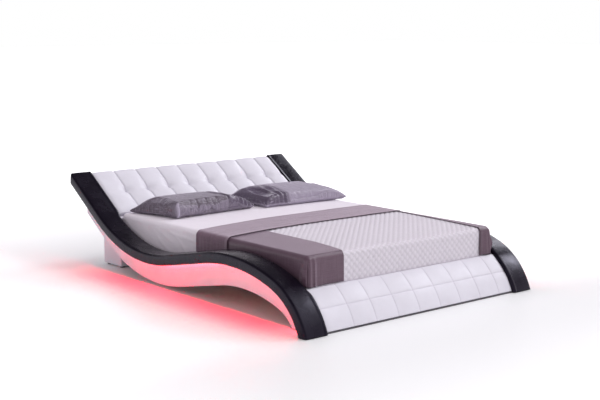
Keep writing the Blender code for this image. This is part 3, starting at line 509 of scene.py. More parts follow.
def rounded_profile(width, depth, corner, corner_steps, step):
    """Round a rectangle from the middle of its underside: across, depth, and the way outward."""
    half, points = width / 2, []
    flats = ((0.0, depth, half - corner, depth, 0, 1), (half, depth - corner, half, corner, 1, 0),
             (half - corner, 0.0, corner - half, 0.0, 0, -1),
             (-half, corner, -half, depth - corner, -1, 0),
             (corner - half, depth, 0.0, depth, 0, 1))
    centres = ((half - corner, depth - corner, 90), (half - corner, corner, 0),
               (corner - half, corner, -90), (corner - half, depth - corner, -180))
    for index, (x0, d0, x1, d1, nx, nd) in enumerate(flats):
        count = max(1, round(math.hypot(x1 - x0, d1 - d0) / step))
        points += [(x0 + (x1 - x0) * i / count, d0 + (d1 - d0) * i / count, nx, nd)
                   for i in range(count)]
        if index < len(centres):
            x, d, start = centres[index]
            for i in range(corner_steps):
                angle = math.radians(start - 90 * i / corner_steps)
                nx, nd = math.cos(angle), math.sin(angle)
                points.append((x + corner * nx, d + corner * nd, nx, nd))
    points.append(points[0])
    return np.array(points).T


def swept_piece(name, material, slot, node, side, profile, middle, floor, head, along, roll,
                swell, seam_of):
    """Sweeps a section between a level foot and an upright head, and closes both its ends."""
    bm = new_mesh()
    px, pd, nx, nd = profile
    verts, a, b = laid_grid(bm, np.arange(len(px), dtype=float), along)
    index = np.rint(a).astype(int)
    x, d, out_x, out_d = px[index], pd[index], nx[index], nd[index]
    length = along[-1]
    left = length - b
    start_shift = per_depth(d, lambda level: where_height(level, floor))
    end_shift = per_depth(d, lambda level: where_station(level, head)) - length
    rolled = roll - np.sqrt(np.maximum(roll ** 2 - (roll - left) ** 2, 0.0))
    grown = swell(x, d, b) - np.where(left < roll, rolled, 0.0)
    s = b + start_shift * np.exp(-b / END_FADE) + end_shift * np.exp(-left / END_FADE)
    y, z = wave(s, d + out_d * grown)
    move_to(verts, np.column_stack((side * (middle + x + out_x * grown), y, np.maximum(z, floor))))
    seam, run = seam_of(x, d, b)
    keep_number(bm, "seam", verts, seam)
    keep_number(bm, "run", verts, run)
    bmesh.ops.remove_doubles(bm, verts=bm.verts, dist=WELD)
    bmesh.ops.holes_fill(bm, edges=[edge for edge in bm.edges if edge.is_boundary], sides=0)
    return finished(bm, name, material, slot, node)


def rail_swell(x, d, s):
    """How far the leather stands proud: crowned faces, one cross seam and faint wrinkles."""
    across = np.clip(1 - (x / RAIL_HALF) ** 2, 0, 1)
    deep = np.clip(1 - (2 * d / RAIL_THICKNESS - 1) ** 2, 0, 1)
    grown = RAIL_SWELL * (np.where(d < 0.02, across, 0.6 * deep) - 0.7)
    grown = grown - 0.0012 * bell(s - RAIL_SEAM, 0.003) + 0.0006 * bell(s - RAIL_SEAM, 0.012)
    grown = grown + 0.0005 * soft_noise(s * 14, x * 9 + d * 20, 3)
    grown = grown + 0.00035 * soft_noise(s * 45, x * 18, 4)
    lap = (np.clip((LAP_FOOT - s) / 0.05, 0, 1)
           + np.clip((s - (WAVE_LENGTH - LAP_HEAD)) / 0.06, 0, 1))
    inner_face = np.clip((RAIL_CORNER - RAIL_HALF - x) / RAIL_CORNER, 0, 1)
    return grown + RAIL_LAP * lap * inner_face * np.clip(0.03 - d, 0, 0.01) * 100


def rail_stitches(x, d, s):
    return np.minimum(np.abs(s - RAIL_SEAM), SEAM_FAR), x + 2 * d


rail_profile = rounded_profile(RAIL_OUTER - RAIL_INNER, RAIL_THICKNESS, RAIL_CORNER, 6, 0.009)
rail_along = stations(0.0, (RAIL_SEAM - 0.012, 0.012), (RAIL_SEAM + 0.012, 0.0015),
                      (WAVE_LENGTH - 0.018, 0.012), (WAVE_LENGTH - 0.004, 0.002),
                      (WAVE_LENGTH, 0.0008))
for word, side in SIDES:
    rail = swept_piece(f"rail_leather_{word}", black_leather, "black_leather",
                       f"rail_cover_{word}", side, rail_profile, (RAIL_INNER + RAIL_OUTER) / 2,
                       FOOT_LIFT, WAVE_Y[-1], rail_along, RAIL_ROLL, rail_swell, rail_stitches)

# %% [markdown]
# Below each rail hangs a valance: a white leather skirt over a thin pad. Its outer face is the
# one that the light strip washes with red. It follows the wave too, and ends near the head.

# %% Valances
VALANCE_INNER, VALANCE_OUTER = 0.8471, 0.8701
VALANCE_TOP, VALANCE_LOW = 0.0723, 0.222
VALANCE_HEAD = BED_HALF - 0.050
VALANCE_FLOOR = 0.004
VALANCE_ROLL = 0.003
VALANCE_SEAM = 0.012

skirt_profile = rounded_profile(VALANCE_OUTER - VALANCE_INNER, VALANCE_LOW - VALANCE_TOP,
                                0.005, 4, 0.012)
skirt_profile[1] += VALANCE_TOP
skirt_along = stations(0.0, (float(where_station(VALANCE_TOP, VALANCE_HEAD)), 0.012))


def skirt_swell(x, d, s):
    middle = np.clip(1 - ((d - VALANCE_TOP) / (VALANCE_LOW - VALANCE_TOP) * 2 - 1) ** 2, 0, 1)
    return 0.0016 * middle - 0.0012 + 0.0004 * soft_noise(s * 7, d * 20, 8)


def skirt_stitches(x, d, s):
    return np.abs(d - VALANCE_LOW + VALANCE_SEAM), s


for word, side in SIDES:
    skirt = swept_piece(f"valance_leather_{word}", white_leather, "white_leather",
                        f"valance_{word}", side, skirt_profile,
                        (VALANCE_INNER + VALANCE_OUTER) / 2, VALANCE_FLOOR, VALANCE_HEAD,
                        skirt_along, VALANCE_ROLL, skirt_swell, skirt_stitches)

# %% [markdown]
# The headboard is one white leather pad, sewn into upright columns and pinned by a row of
# tufts. A column swells between its seams; a tuft pulls the pad deep and sends a crease to each
# side. The height of the pad is written as a function, which is how such a pad is drawn best
# when every seam has to be sharp.

# %% Headboard pad
PAD_HALF = 0.8122
PAD_COLUMNS = 9
EVEN_SEAMS = np.array([(2 * k / PAD_COLUMNS - 1) * PAD_HALF for k in range(1, PAD_COLUMNS)])
HEAD_SEAMS = EVEN_SEAMS + 0.030 * (EVEN_SEAMS / PAD_HALF + 1) / 2
HEAD_PAD_THICKNESS = 0.032
HEAD_LONG, HEAD_GAP = 0.392466, 0.006
HEAD_START = float(where_station(0.0, BED_HALF - HEAD_LONG + HEAD_GAP))
HEAD_END = float(where_station(HEAD_PAD_THICKNESS, BED_HALF))
TUFT_ROW = WAVE_LENGTH - 0.238


def column_facts(x, seams):
    """For each x: the distance from the nearest seam, and 0 at a seam to 1 mid-column."""
    edges = np.concatenate(([-PAD_HALF], seams, [PAD_HALF]))
    index = np.clip(np.searchsorted(edges, x) - 1, 0, len(edges) - 2)
    low, high = edges[index], edges[index + 1]
    share = np.clip((x - low) / (high - low), 0, 1)
    nearest = np.min(np.abs(x[:, None] - seams[None, :]), axis=1)
    return nearest, 1 - (2 * share - 1) ** 2


def pad_on_wave(name, node, seams, along, top_depth, base_depth, height, seam_of):
    """A sewn pad across the bed, with its stations close together at each seam."""
    stops = [stop for seam in seams for stop in ((seam - 0.015, 0.010), (seam + 0.015, 0.003))]
    across = stations(-PAD_HALF, *stops, (PAD_HALF - 0.02, 0.010), (PAD_HALF, 0.003))
    bm = new_mesh()
    verts, x, s = laid_grid(bm, across, along)
    move_to(verts, np.column_stack((x, *wave(s, top_depth - height(x, s)))))
    seam, run = seam_of(x, s)
    keep_number(bm, "seam", verts, seam)
    keep_number(bm, "run", verts, run)
    add_back(bm, verts, np.column_stack((x, *wave(s, base_depth))))
    pad = finished(bm, name, white_leather, "white_leather", node)


def head_height(x, s):
    nearest, puff = column_facts(x, HEAD_SEAMS)
    row = s - TUFT_ROW
    from_tuft = np.hypot(nearest, row)
    rise = 0.010 * puff ** 0.75 * (1 - 0.35 * bell(HEAD_END - s, 0.045))
    rise -= 0.0045 * bell(nearest, 0.006)
    rise -= 0.0060 * bell(row, 0.022) * (1 - 0.45 * puff)
    rise += 0.0030 * bell(np.abs(row) - 0.085, 0.055) * puff
    rise -= 0.0130 * bell(from_tuft, 0.038)
    rise -= 0.0050 * bell(from_tuft, 0.010)
    crease = bell(nearest - np.abs(row) * 0.8, 0.006) * bell(from_tuft, 0.05)
    rise -= 0.0016 * crease
    for edge, soft, reach in ((PAD_HALF - np.abs(x), 0.008, 0.013), (s - HEAD_START, 0.010, 0.016),
                              (HEAD_END - s, 0.006, 0.011)):
        rise -= soft * bell(edge, reach)
    rise += 0.0007 * soft_noise(x * 16, s * 16, 21) + 0.0003 * soft_noise(x * 50, s * 50, 22)
    return rise


def head_stitches(x, s):
    return np.minimum(column_facts(x, HEAD_SEAMS)[0], SEAM_FAR), s


head_along = stations(HEAD_START, (HEAD_START + 0.02, 0.004), (TUFT_ROW - 0.04, 0.010),
                      (TUFT_ROW + 0.04, 0.004), (HEAD_END - 0.02, 0.010), (HEAD_END, 0.003))
pad_on_wave("headboard_leather", "headboard_pad", HEAD_SEAMS, head_along, 0.0,
            HEAD_PAD_THICKNESS, head_height, head_stitches)

# %% [markdown]
# The footboard curves down to the floor between the rails. It is sewn like the headboard, in
# two rows of panels, a little flatter, and lies slightly below the rails.

# %% Footboard pad
FOOT_DEPTH = 0.018
FOOT_BASE = 0.032
FOOT_LOW, FOOT_LONG, FOOT_GAP = 0.0073, 0.208, 0.0003
FOOT_START = float(where_height(FOOT_BASE, FOOT_LOW))
FOOT_END = float(where_station(FOOT_BASE, -BED_HALF + FOOT_LONG - FOOT_GAP))
FOOT_SEAMS = EVEN_SEAMS + 0.045
FOOT_ROW = 0.163


def foot_height(x, s):
    nearest, puff = column_facts(x, FOOT_SEAMS)
    row = s - FOOT_ROW
    reach = np.where(row < 0, FOOT_ROW - FOOT_START, FOOT_END - FOOT_ROW)
    along = 1 - (2 * np.clip(np.abs(row) / reach, 0, 1) - 1) ** 2
    rise = 0.0040 * puff ** 0.6 * np.clip(along, 0, 1) ** 0.5
    rise -= 0.0016 * bell(nearest, 0.005) + 0.0016 * bell(row, 0.005)
    rise -= 0.0060 * bell(PAD_HALF - np.abs(x), 0.014)
    rise += 0.0006 * soft_noise(x * 14, s * 14, 31) + 0.0003 * soft_noise(x * 45, s * 45, 32)
    return rise


def foot_stitches(x, s):
    upright, level = column_facts(x, FOOT_SEAMS)[0], np.abs(s - FOOT_ROW)
    return np.minimum(np.minimum(upright, level), SEAM_FAR), np.where(level < upright, x, s)


foot_along = stations(FOOT_START, (FOOT_ROW - 0.012, 0.008), (FOOT_ROW + 0.012, 0.003),
                      (FOOT_END, 0.008))
pad_on_wave("footboard_leather", "footboard_pad", FOOT_SEAMS, foot_along, FOOT_DEPTH, FOOT_BASE,
            foot_height, foot_stitches)

# %% [markdown]
# Behind the headboard a black leather panel closes the back and underside. It is a thin sheet
# tacked round its edge. Its folded side view is a path: along the underside of the shell, round
# the low corner, and up the back.

# %% Headboard back
BACK_DEPTH = 0.0606
BACK_OFF = 0.0045
BACK_TOP_DEPTH = 0.034
BACK_OUT, BACK_IN = 0.0008, 0.0036
BACK_CORNER = 0.004
BACK_LONG, BACK_ROOM, BACK_EDGE = 0.392, 0.003, 0.0006
back_start = float(where_station(BACK_DEPTH, BED_HALF - BACK_LONG))
back_end = float(where_station(BACK_DEPTH, BED_HALF - BACK_ROOM))
under_side = np.column_stack(wave(stations(back_start, (back_end, 0.015)), BACK_DEPTH + BACK_OFF))
corner_y = BED_HALF - BACK_EDGE
low_z = under_side[-1, 1]
under_side[-1] = corner_y - BACK_CORNER, low_z
high_z = float(wave(where_station(BACK_TOP_DEPTH, BED_HALF), BACK_TOP_DEPTH)[1])
rising = stations(low_z + BACK_CORNER, (high_z, 0.006))
back_path = np.concatenate((under_side, np.column_stack((np.full(len(rising), corner_y), rising))))
tangent = np.gradient(back_path, axis=0)
tangent /= np.linalg.norm(tangent, axis=1, keepdims=True)
outward = np.column_stack((tangent[:, 1], -tangent[:, 0]))

bm = new_mesh()
verts, x, row = laid_grid(bm, stations(-PAD_HALF, (PAD_HALF, 0.020)),
                          np.arange(len(back_path), dtype=float))
row = np.rint(row).astype(int)
ripple = 0.0006 * soft_noise(x * 6, row / 4.0, 41)
move_to(verts, np.column_stack((x, back_path[row] - outward[row] * (BACK_OUT + ripple)[:, None])))
edge = np.minimum(PAD_HALF - np.abs(x), SEAM_FAR)
keep_number(bm, "seam", verts, np.minimum(edge + 0.004, SEAM_FAR))
keep_number(bm, "run", verts, row * 0.012)
add_back(bm, verts, np.column_stack((x, back_path[row] - outward[row] * BACK_IN)))
finished(bm, "headboard_back_leather", black_leather, "black_leather", "headboard_back")

# %% [markdown]
# Two square legs carry the head end. Each is a timber block wrapped in white leather, with one
# upright seam at each corner. A cube is cut finer, its top is dropped to the headboard's slope,
# and its edges are rounded.

# %% Rear legs
LEG_TOP_DEPTH = 0.066
LEG_GAP = 0.0005
LEG_ROUND = 0.007
LEG_CROWN = 0.0012
LEG_PULL = 0.0004
LEG_SEAM = 0.010

for word, _ in SIDES:
    low, high = (Vector(corner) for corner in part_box(f"rear_leg_{word}"))
    bm = new_mesh()
    bmesh.ops.create_cube(bm, size=1.0)
    size, middle = high - low, (low + high) / 2
    for vert in bm.verts:
        vert.co = Vector(c * s + m for c, s, m in zip(vert.co, size, middle))
        if vert.co.z > middle.z:
            slope = wave(where_station(LEG_TOP_DEPTH, vert.co.y), LEG_TOP_DEPTH)[1]
            vert.co.z = min(float(slope), high.z) - LEG_GAP
    bmesh.ops.bevel(bm, geom=list(bm.edges), offset=LEG_ROUND, offset_type="OFFSET", segments=4,
                    profile=0.5, affect="EDGES", clamp_overlap=True, material=-1)
    long_edges = [edge for edge in bm.edges if edge.calc_length() > 0.05]
    bmesh.ops.subdivide_edges(bm, edges=long_edges, cuts=10, use_grid_fill=True)
    centre, half = np.array(middle), np.array(size) / 2
    seam, run = [], []
    for vert in bm.verts:
        offset = np.abs((np.array(vert.co) - centre) / half)
        crowned = max(0.0, 1 - offset[2] ** 2) * LEG_CROWN
        for axis in (0, 1):
            if offset[axis] > 0.97:
                grown = crowned * (1 - offset[1 - axis] ** 2) - LEG_PULL
                vert.co[axis] += math.copysign(grown, vert.co[axis] - centre[axis])
        edge = abs(abs(vert.co.x - centre[0]) - half[0] + LEG_SEAM)
        seam.append(min(SEAM_FAR, edge + (0.0 if offset[1] > 0.95 else SEAM_FAR)))
        run.append(vert.co.z)
    keep_number(bm, "seam", list(bm.verts), seam)
    keep_number(bm, "run", list(bm.verts), run)
    finished(bm, f"rear_leg_leather_{word}", white_leather, "white_leather", f"rear_leg_{word}")

# %% [markdown]
# Cloth is woven from two sets of threads. The weave group draws them in the cloth's own
# measures, across and along, which every laid grid remembers. It gives a height for the bump,
# a tone that makes some threads a little darker than others, and a mask of thick threads.

# %% Weave group and cloths
# How dark the hem number makes a cloth: for its stitching, and for painted shade on edges, quilting
# valleys and creases.
STITCH_AND_SHADE_SHARE = 0.55
STITCH_AND_SHADE_TONE = 0.35

weave, given, out = new_group("weave", {"Across": 0.0, "Along": 0.0, "Threads": 1200.0},
                              ("Height", "Tone", "Slub"))
ridges = []
for key in ("Across", "Along"):
    turns = chained(weave, "MULTIPLY", given[key], given["Threads"], math.pi)
    ridges.append(maths(weave, "ABSOLUTE", maths(weave, "SINE", turns)))
weave.links.new(maths(weave, "MULTIPLY", *ridges), out["Height"])


def streak(across_scale, along_scale):
    """Noise drawn out along one set of threads."""
    across = maths(weave, "MULTIPLY", given["Across"], across_scale)
    along = maths(weave, "MULTIPLY", given["Along"], along_scale)
    place = add_node(weave, "CombineXYZ", _0=across, _1=along)
    return noise(weave, place.outputs[0], 1.0)


both = maths(weave, "MULTIPLY_ADD", streak(260.0, 9.0), 0.5,
             maths(weave, "MULTIPLY", streak(9.0, 260.0), 0.5))
weave.links.new(ramp(weave, both, 0.36, 0.64), out["Tone"])
coarse = maths(weave, "MAXIMUM", streak(150.0, 22.0), streak(22.0, 150.0))
weave.links.new(ramp(weave, coarse, 0.5, 0.72), out["Slub"])


def make_cloth(name, colour, shade, roughness, threads, bump, sheen, slub=None, **fixed):
    """A woven cloth. sheen: its weight, roughness and tint; slub: the thick threads' share and
    colour. A piece's hem attribute, if it has one, darkens the line of its stitching and also
    paints shade: along the cloth's edges, in quilting valleys and in pulled-in creases."""
    material, tree, shader = new_material(
        name, Sheen_Weight=sheen[0], Sheen_Roughness=sheen[1], Sheen_Tint=(*sheen[2], 1.0), **fixed)
    yarn = use_group(tree, weave, Across=attribute(tree, "across"), Along=attribute(tree, "along"),
                     Threads=threads)
    tone = blend_colours(tree, yarn["Tone"], colour, shade)
    if slub:
        tone = blend_colours(tree, maths(tree, "MULTIPLY", yarn["Slub"], slub[0]), tone, slub[1])
    # The hem number darkens stitching and paints shade: on cloth edges, in the mattress's quilting
    # valleys and in a pillow's pulled-in creases.
    tone = blend_colours(tree, maths(tree, "MULTIPLY", attribute(tree, "hem"), STITCH_AND_SHADE_SHARE), tone,
                         tuple(c * STITCH_AND_SHADE_TONE for c in shade))
    rough = ramp(tree, yarn["Tone"], 0.0, 1.0, roughness - 0.05, roughness + 0.05)
    height = maths(tree, "MULTIPLY_ADD", yarn["Tone"], 0.8, yarn["Height"])
    link_surface(tree, shader, tone, rough, height, bump)
    return material


sheet_cloth = make_cloth("sheet_cloth", (0.90, 0.860, 0.912), (0.86, 0.805, 0.872), 0.75, 1500.0,
                         0.15, (0.3, 0.5, (1.0, 0.97, 1.0)))
cover_cloth = make_cloth("cover_cloth", (0.142, 0.084, 0.118), (0.103, 0.060, 0.085), 0.38, 1100.0,
                         0.25, (1.0, 0.30, (1.0, 0.86, 1.0)), Specular_IOR_Level=0.45)
# Painted light: the cover cloth made lighter, with less gloss, to stand in for the brighter light
# on the band's top.
band_cloth_painted_lighter = make_cloth("band_cloth_painted_lighter", (0.188, 0.112, 0.156), (0.140, 0.082, 0.114), 0.38, 1100.0,
                        0.25, (1.0, 0.42, (1.0, 0.90, 1.0)), Specular_IOR_Level=0.12)
ticking = make_cloth("mattress_ticking", (0.785, 0.748, 0.80), (0.735, 0.695, 0.755), 0.62, 1300.0,
                     0.2, (0.25, 0.4, WHITE))
print("Cloths ready")

# %% [markdown]
# The mattress is a block with rounded edges, quilted in small diamonds. Six grids make the
# block, finer where it shows; a rounded-box rule turns its edges; then every point is pulled in
# along the quilting lines. The lines run on over the foot edge, as sewn ticking does.

# %% Mattress
MATTRESS_LOW, MATTRESS_HIGH = (np.array(corner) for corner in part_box("mattress"))
MATTRESS_CROWN = 0.004
MATTRESS_HIGH[2] -= MATTRESS_CROWN
MATTRESS_ROUND = 0.030
MATTRESS_WELD = 0.0003
QUILT_PITCH = 0.0315
QUILT_DEPTH = 0.0056
HALF_WIDTH, HEAD_Y, TOP_Z = MATTRESS_HIGH
FOOT_Y = MATTRESS_LOW[1]
TINY = 1e-6


def soften(points, low, high, radius):
    """Turns points of a sharp box into points of a box with rounded edges; also the way outward."""
    inner = np.clip(points, low + radius, high - radius)
    away = points - inner
    outward = away / np.maximum(np.linalg.norm(away, axis=1, keepdims=True), 1e-9)
    return inner + outward * radius, outward


def crown(points, outward):
    """The slight rise of the mattress towards its middle."""
    across = np.clip(1 - (points[:, 0] / HALF_WIDTH) ** 2, 0, 1)
    middle = (FOOT_Y + HEAD_Y) / 2
    along = np.clip(1 - ((points[:, 1] - middle) / (HEAD_Y - middle)) ** 2, 0, 1)
    raised = points.copy()
    raised[:, 2] += MATTRESS_CROWN * across * along * np.clip(outward[:, 2], 0, 1)
    return raised


def quilt(a, b):
    """How far the ticking sinks at a place: deepest on the diagonal lines of stitching."""
    u, v = (c / math.sqrt(2) / QUILT_PITCH * math.pi for c in (a + b, a - b))
    return QUILT_DEPTH * (1 - np.abs(np.sin(u) * np.sin(v)) ** 0.45)


bm = new_mesh()
r, low, high = MATTRESS_ROUND, MATTRESS_LOW, MATTRESS_HIGH
lines = (stations(low[0], (low[0] + r, 0.0075), (-0.56, 0.02), (0.72, 0.0056),
                  (high[0] - r, 0.0056), (high[0], 0.0075)),
         stations(low[1], (low[1] + r, 0.0056), (low[1] + 0.86, 0.0056), (high[1] - r, 0.03),
                  (high[1], 0.0075)),
         stations(low[2], (low[2] + r, 0.0075), (high[2] - r, 0.0066), (high[2], 0.0056)))
verts, points = [], []
for fixed_axis, fixed in ((2, high), (2, low), (1, low), (1, high), (0, low), (0, high)):
    first, second = (axis for axis in range(3) if axis != fixed_axis)
    face_verts, a, b = laid_grid(bm, lines[first], lines[second])
    face = np.zeros((len(a), 3))
    face[:, first], face[:, second], face[:, fixed_axis] = a, b, fixed[fixed_axis]
    verts += face_verts
    points.append(face)
sharp = np.concatenate(points)
fall = high[2] - sharp[:, 2]
on_side = np.abs(np.abs(sharp[:, 0]) - HALF_WIDTH) < TINY
on_foot = np.abs(sharp[:, 1] - low[1]) < TINY
cloth_a = sharp[:, 0] + np.sign(sharp[:, 0]) * fall * on_side
cloth_b = sharp[:, 1] - fall * on_foot
soft, outward = soften(sharp, low, high, r)
sink = np.where(outward[:, 2] < -0.2, 0.0, quilt(cloth_a, cloth_b))
keep_number(bm, "across", verts, cloth_a)
keep_number(bm, "along", verts, cloth_b)
# Painted shade: the hem number darkens the ticking in the quilting valleys, the more the deeper
# they sink.
keep_number(bm, "hem", verts, 0.60 * (sink / QUILT_DEPTH) ** 2)
move_to(verts, crown(soft, outward) - outward * sink[:, None])
piece = finished(bm, "mattress_quilted", ticking, "mattress_cloth", "mattress", weld=MATTRESS_WELD)
print("Mattress top at", round(TOP_Z, 4), "m")

# %% [markdown]
# Each cloth is laid on the mattress in its own flat measures: across and along. A place beyond
# the mattress's edge falls down its side. The sharp fall is then rounded by the same rule as the
# mattress, a little farther out, so a cloth can't pass through what it lies on. Hanging parts
# swing out in soft folds that grow towards the hem.

# %% Draping
LAYER = 0.003
THICKNESS, BAND_THICKNESS = 0.0022, 0.0026
LEAST_SWING = 0.0004
TURN = 0.034
SIDE_HEM = 0.205
HEM_ROW = 0.014


def lay(bm, verts, a, b, lift, folds, side=1):
    """Lays the places a, b over the mattress, and cuts out the corners that would fall twice."""
    half, foot, head = HALF_WIDTH + lift, FOOT_Y - lift, HEAD_Y + lift
    fall_a = np.maximum(np.abs(a) - half, 0.0)
    fall_b = np.maximum(foot - b, 0.0) + np.maximum(b - head, 0.0)
    fall = fall_a + fall_b
    top = TOP_Z + lift
    sharp = np.column_stack((np.clip(a, -half, half), np.clip(b, foot, head), top - fall))
    soft, outward = soften(sharp, np.array([-half, foot, -1.0]), np.array([half, head, top]),
                           MATTRESS_ROUND + lift)
    run = np.where(fall_b > fall_a, foot - (half - np.abs(a)), b)
    swing = np.where(b > head, LEAST_SWING, folds(a, b, run, fall))
    points = crown(soft, outward) + outward * swing[:, None]
    points[:, 0] *= side
    move_to(verts, points)
    lost = {vert for vert, out in zip(verts, (fall_a > TINY) & (fall_b > TINY)) if out}
    bmesh.ops.delete(bm, geom=[face for face in bm.faces if any(v in lost for v in face.verts)],
                     context="FACES")
    bmesh.ops.remove_doubles(bm, verts=bm.verts, dist=WELD)


def thicken(piece, thickness=THICKNESS):
    solid = piece.modifiers.new("thickness", "SOLIDIFY")
    solid.thickness = thickness
    solid.offset = -1.0
    return piece


def hem_stitch_and_edge_shade(bm, distance_of):
    """Marks the row of stitching that holds a hem and paints a shadow right along the edge, from
    each vertex's distance to the edge.
    """
    a, b = (np.array([vert[bm.verts.layers.float[key]] for vert in bm.verts])
            for key in ("across", "along"))
    edge = distance_of(a, b)
    # The stitch row, and a painted shadow in a narrow band right at the cloth's edge.
    marked = np.maximum(0.5 * bell(edge - HEM_ROW, 0.0022), bell(edge, 0.0035))
    keep_number(bm, "hem", list(bm.verts), marked)


def hanging_width(lift, step_top):
    """Stations across the bed from hem to hem, and the flat width of the cloth."""
    half = HALF_WIDTH + lift
    reach = half + TOP_Z + lift - SIDE_HEM
    side = list(stations(half - TURN, (half, 0.0068), (half + TURN, 0.0068), (reach - 0.016, 0.009),
                         (reach, 0.004)))
    over_top = list(stations(-half + TURN, (half - TURN, step_top)))
    return np.array([-v for v in side[::-1]] + over_top[1:-1] + side), 2 * reach


def cloth_area(bm):
    return sum(face.calc_area() for face in bm.faces)


print("Cloths lie", LAYER, "m above the mattress and hang to", SIDE_HEM, "m above the floor")

# %% [markdown]
# The sheet covers the head half and hangs down both long sides. In the photograph it was pulled
# towards the foot on the near side, with the band that lies over it. So the band is skewed there,
# and the sheet's soft folds fan out from the band's edge and lean with the fall.

# %% Sheet
MATTRESS_END = 2.208
BAND_FROM_HEAD = 0.838
BAND_WIDTH = 0.340
BAND_LAP = 0.020
BAND_PULL = 0.070
SHEET_FOOT = -BED_HALF + MATTRESS_END - BAND_FROM_HEAD - BAND_WIDTH + BAND_LAP
SHEET_TUCK = 0.028
SHEET_HEAD = HEAD_Y + LAYER + SHEET_TUCK
BAND_FOOT = SHEET_FOOT - BAND_LAP
BAND_HEAD = BAND_FOOT + BAND_WIDTH


def band_skew(a):
    """How far along the bed the band was pulled at each place across."""
    return -BAND_PULL * np.clip((-a - 0.1) / (HALF_WIDTH - 0.1), 0, 1) ** 1.5


def side_folds(a, b, run, fall):
    """Folds on the hanging sides that fan out from the band, and a few faint lines on the top."""
    grow = np.clip(fall / 0.2, 0, 1)
    beyond = np.maximum(b - BAND_HEAD - band_skew(a), 0.0)
    slant = fall + 0.12 * beyond + 0.50 * beyond ** 2
    folds = (0.0026 * soft_noise(slant * 14, beyond * 4, 52)
             + 0.0016 * soft_noise(slant * 34, beyond * 5, 53))
    bent = slant * 30 + 0.6 * soft_noise(run * 9, fall * 6, 51)
    crease = 1 - np.abs(soft_noise(bent, beyond * 3.5, 54))
    drag = 0.0066 * crease ** 5 * np.clip(fall / 0.05, 0, 1) * np.clip(1.25 - 1.6 * beyond, 0.2, 1)
    top = (0.0006 * soft_noise(a * 5, b * 14, 55)
           + 0.0010 * np.abs(soft_noise(a * 3 + b * 4, b * 9, 56)))
    free = np.clip(beyond / 0.06, 0, 1)
    hanging = 0.0022 * grow + ((0.0012 + folds) * grow + drag) * free
    return np.where(fall > 0, hanging, top * free) + LEAST_SWING


bm = new_mesh()
sheet_across, sheet_width = hanging_width(LAYER, 0.018)
sheet_along = stations(SHEET_FOOT, (HEAD_Y + LAYER - TURN, 0.011), (HEAD_Y + LAYER, 0.0068),
                       (SHEET_HEAD, 0.007))
lay(bm, *laid_grid(bm, sheet_across, sheet_along), LAYER, side_folds)
hem_stitch_and_edge_shade(bm, lambda a, b: sheet_width / 2 - np.abs(a))
sheet_area = cloth_area(bm)
sheet = thicken(finished(bm, "sheet_linen", sheet_cloth, "sheet_cloth", "sheet"))
print("Sheet", round(sheet_width, 3), "by", round(SHEET_HEAD - SHEET_FOOT, 3), "m, laid area",
      round(sheet_area, 3))

# %% [markdown]
# Two cover strips run along the sides of the foot half, wrap over the foot corners and end in a
# hem. The near one is wide and narrows towards the foot. At the corner the cloth is gathered, so
# fine upright pleats run down the foot face beside two deep folds.

# %% Cover strips
FOOT_HEM = 0.237
STRIP_LAP = 0.016
STRIP_HEAD = BAND_FOOT + STRIP_LAP


def strip_folds(a, b, run, fall):
    grow = np.clip(fall / 0.16, 0, 1)
    corner = run - (FOOT_Y - LAYER)
    wander = 2 * soft_noise(run * 30, fall * 3, 61)
    pleats = 0.0014 * np.sin(run * 420 + wander) * bell(corner + 0.06, 0.13)
    pleats += 0.0022 * soft_noise(run * 60, fall * 5, 62) * bell(corner + 0.03, 0.16)
    gather = 0.0075 * (bell(corner + 0.055, 0.012) + bell(corner + 0.020, 0.0105))
    flare = 0.0080 * bell(corner + 0.008, 0.045) * np.clip(fall / 0.15, 0, 1) ** 1.4
    bulge = 0.018 * bell(corner, 0.055) * bell(fall - 0.115, 0.045)
    flare = flare + np.where(corner > 0, bulge, 0.0)
    waves = 0.0012 * soft_noise(run * 12 + 0.4 * fall, fall * 5, 63)
    top = 0.0005 * soft_noise(a * 9, b * 9, 64)
    hanging = 0.0022 * grow + (pleats + waves) * grow + gather * np.clip(fall / 0.05, 0, 1)
    return np.maximum(np.where(fall > 0, hanging + flare, top), -LEAST_SWING)


def cover_strip(word, side, width, width_at_foot, curve_length, curve_power):
    half, foot = HALF_WIDTH + LAYER, FOOT_Y - LAYER
    reach = TOP_Z + LAYER - FOOT_HEM
    inner = half - width
    ending = min(half - TURN, inner + 0.012)
    across = stations(inner, (ending, 0.003), (max(ending, half - 2 * TURN), 0.010),
                      (half - TURN, 0.0034), (half, 0.0034), (half + TURN, 0.0068),
                      (half + reach, 0.0075))
    along = stations(foot - reach, (foot - TURN, 0.0075), (foot, 0.0068), (foot + TURN, 0.0034),
                     (foot + 2 * TURN, 0.0034), (STRIP_HEAD, 0.010))

    def drawn(a, b):
        """Pulls the inner edge to its curve, which bends away towards the foot."""
        toward = np.clip(1 - (b - foot) / curve_length, 0, 1) ** curve_power
        target = width + (width_at_foot - width) * toward
        share = np.clip((half - a - TURN) / (width - TURN), 0, 1)
        return np.where(half - a > TURN, half - TURN - share * (target - TURN), a)

    def folds(a, b, run, fall):
        hem = 0.0008 * bell(np.minimum(reach - fall, 0.1), 0.010)
        return strip_folds(a, b, run, fall) + hem

    bm = new_mesh()
    verts, a, b = laid_grid(bm, across, along)
    a = drawn(a, b)
    keep_number(bm, "across", verts, a)
    lay(bm, verts, a, b, LAYER, folds, side)
    hem_stitch_and_edge_shade(bm, lambda a, b: np.minimum.reduce(
        (half + reach - a, b - foot + reach, a - drawn(0 * b + inner, b))))
    area = cloth_area(bm)
    piece = thicken(finished(bm, f"cover_strip_{word}", cover_cloth, "cover_cloth",
                             f"cover_side_{word}"))


cover_strip("left", -1, 0.335, 0.285, 0.40, 2.0)
cover_strip("right", 1, 0.050, 0.112, 0.76, 1.2)

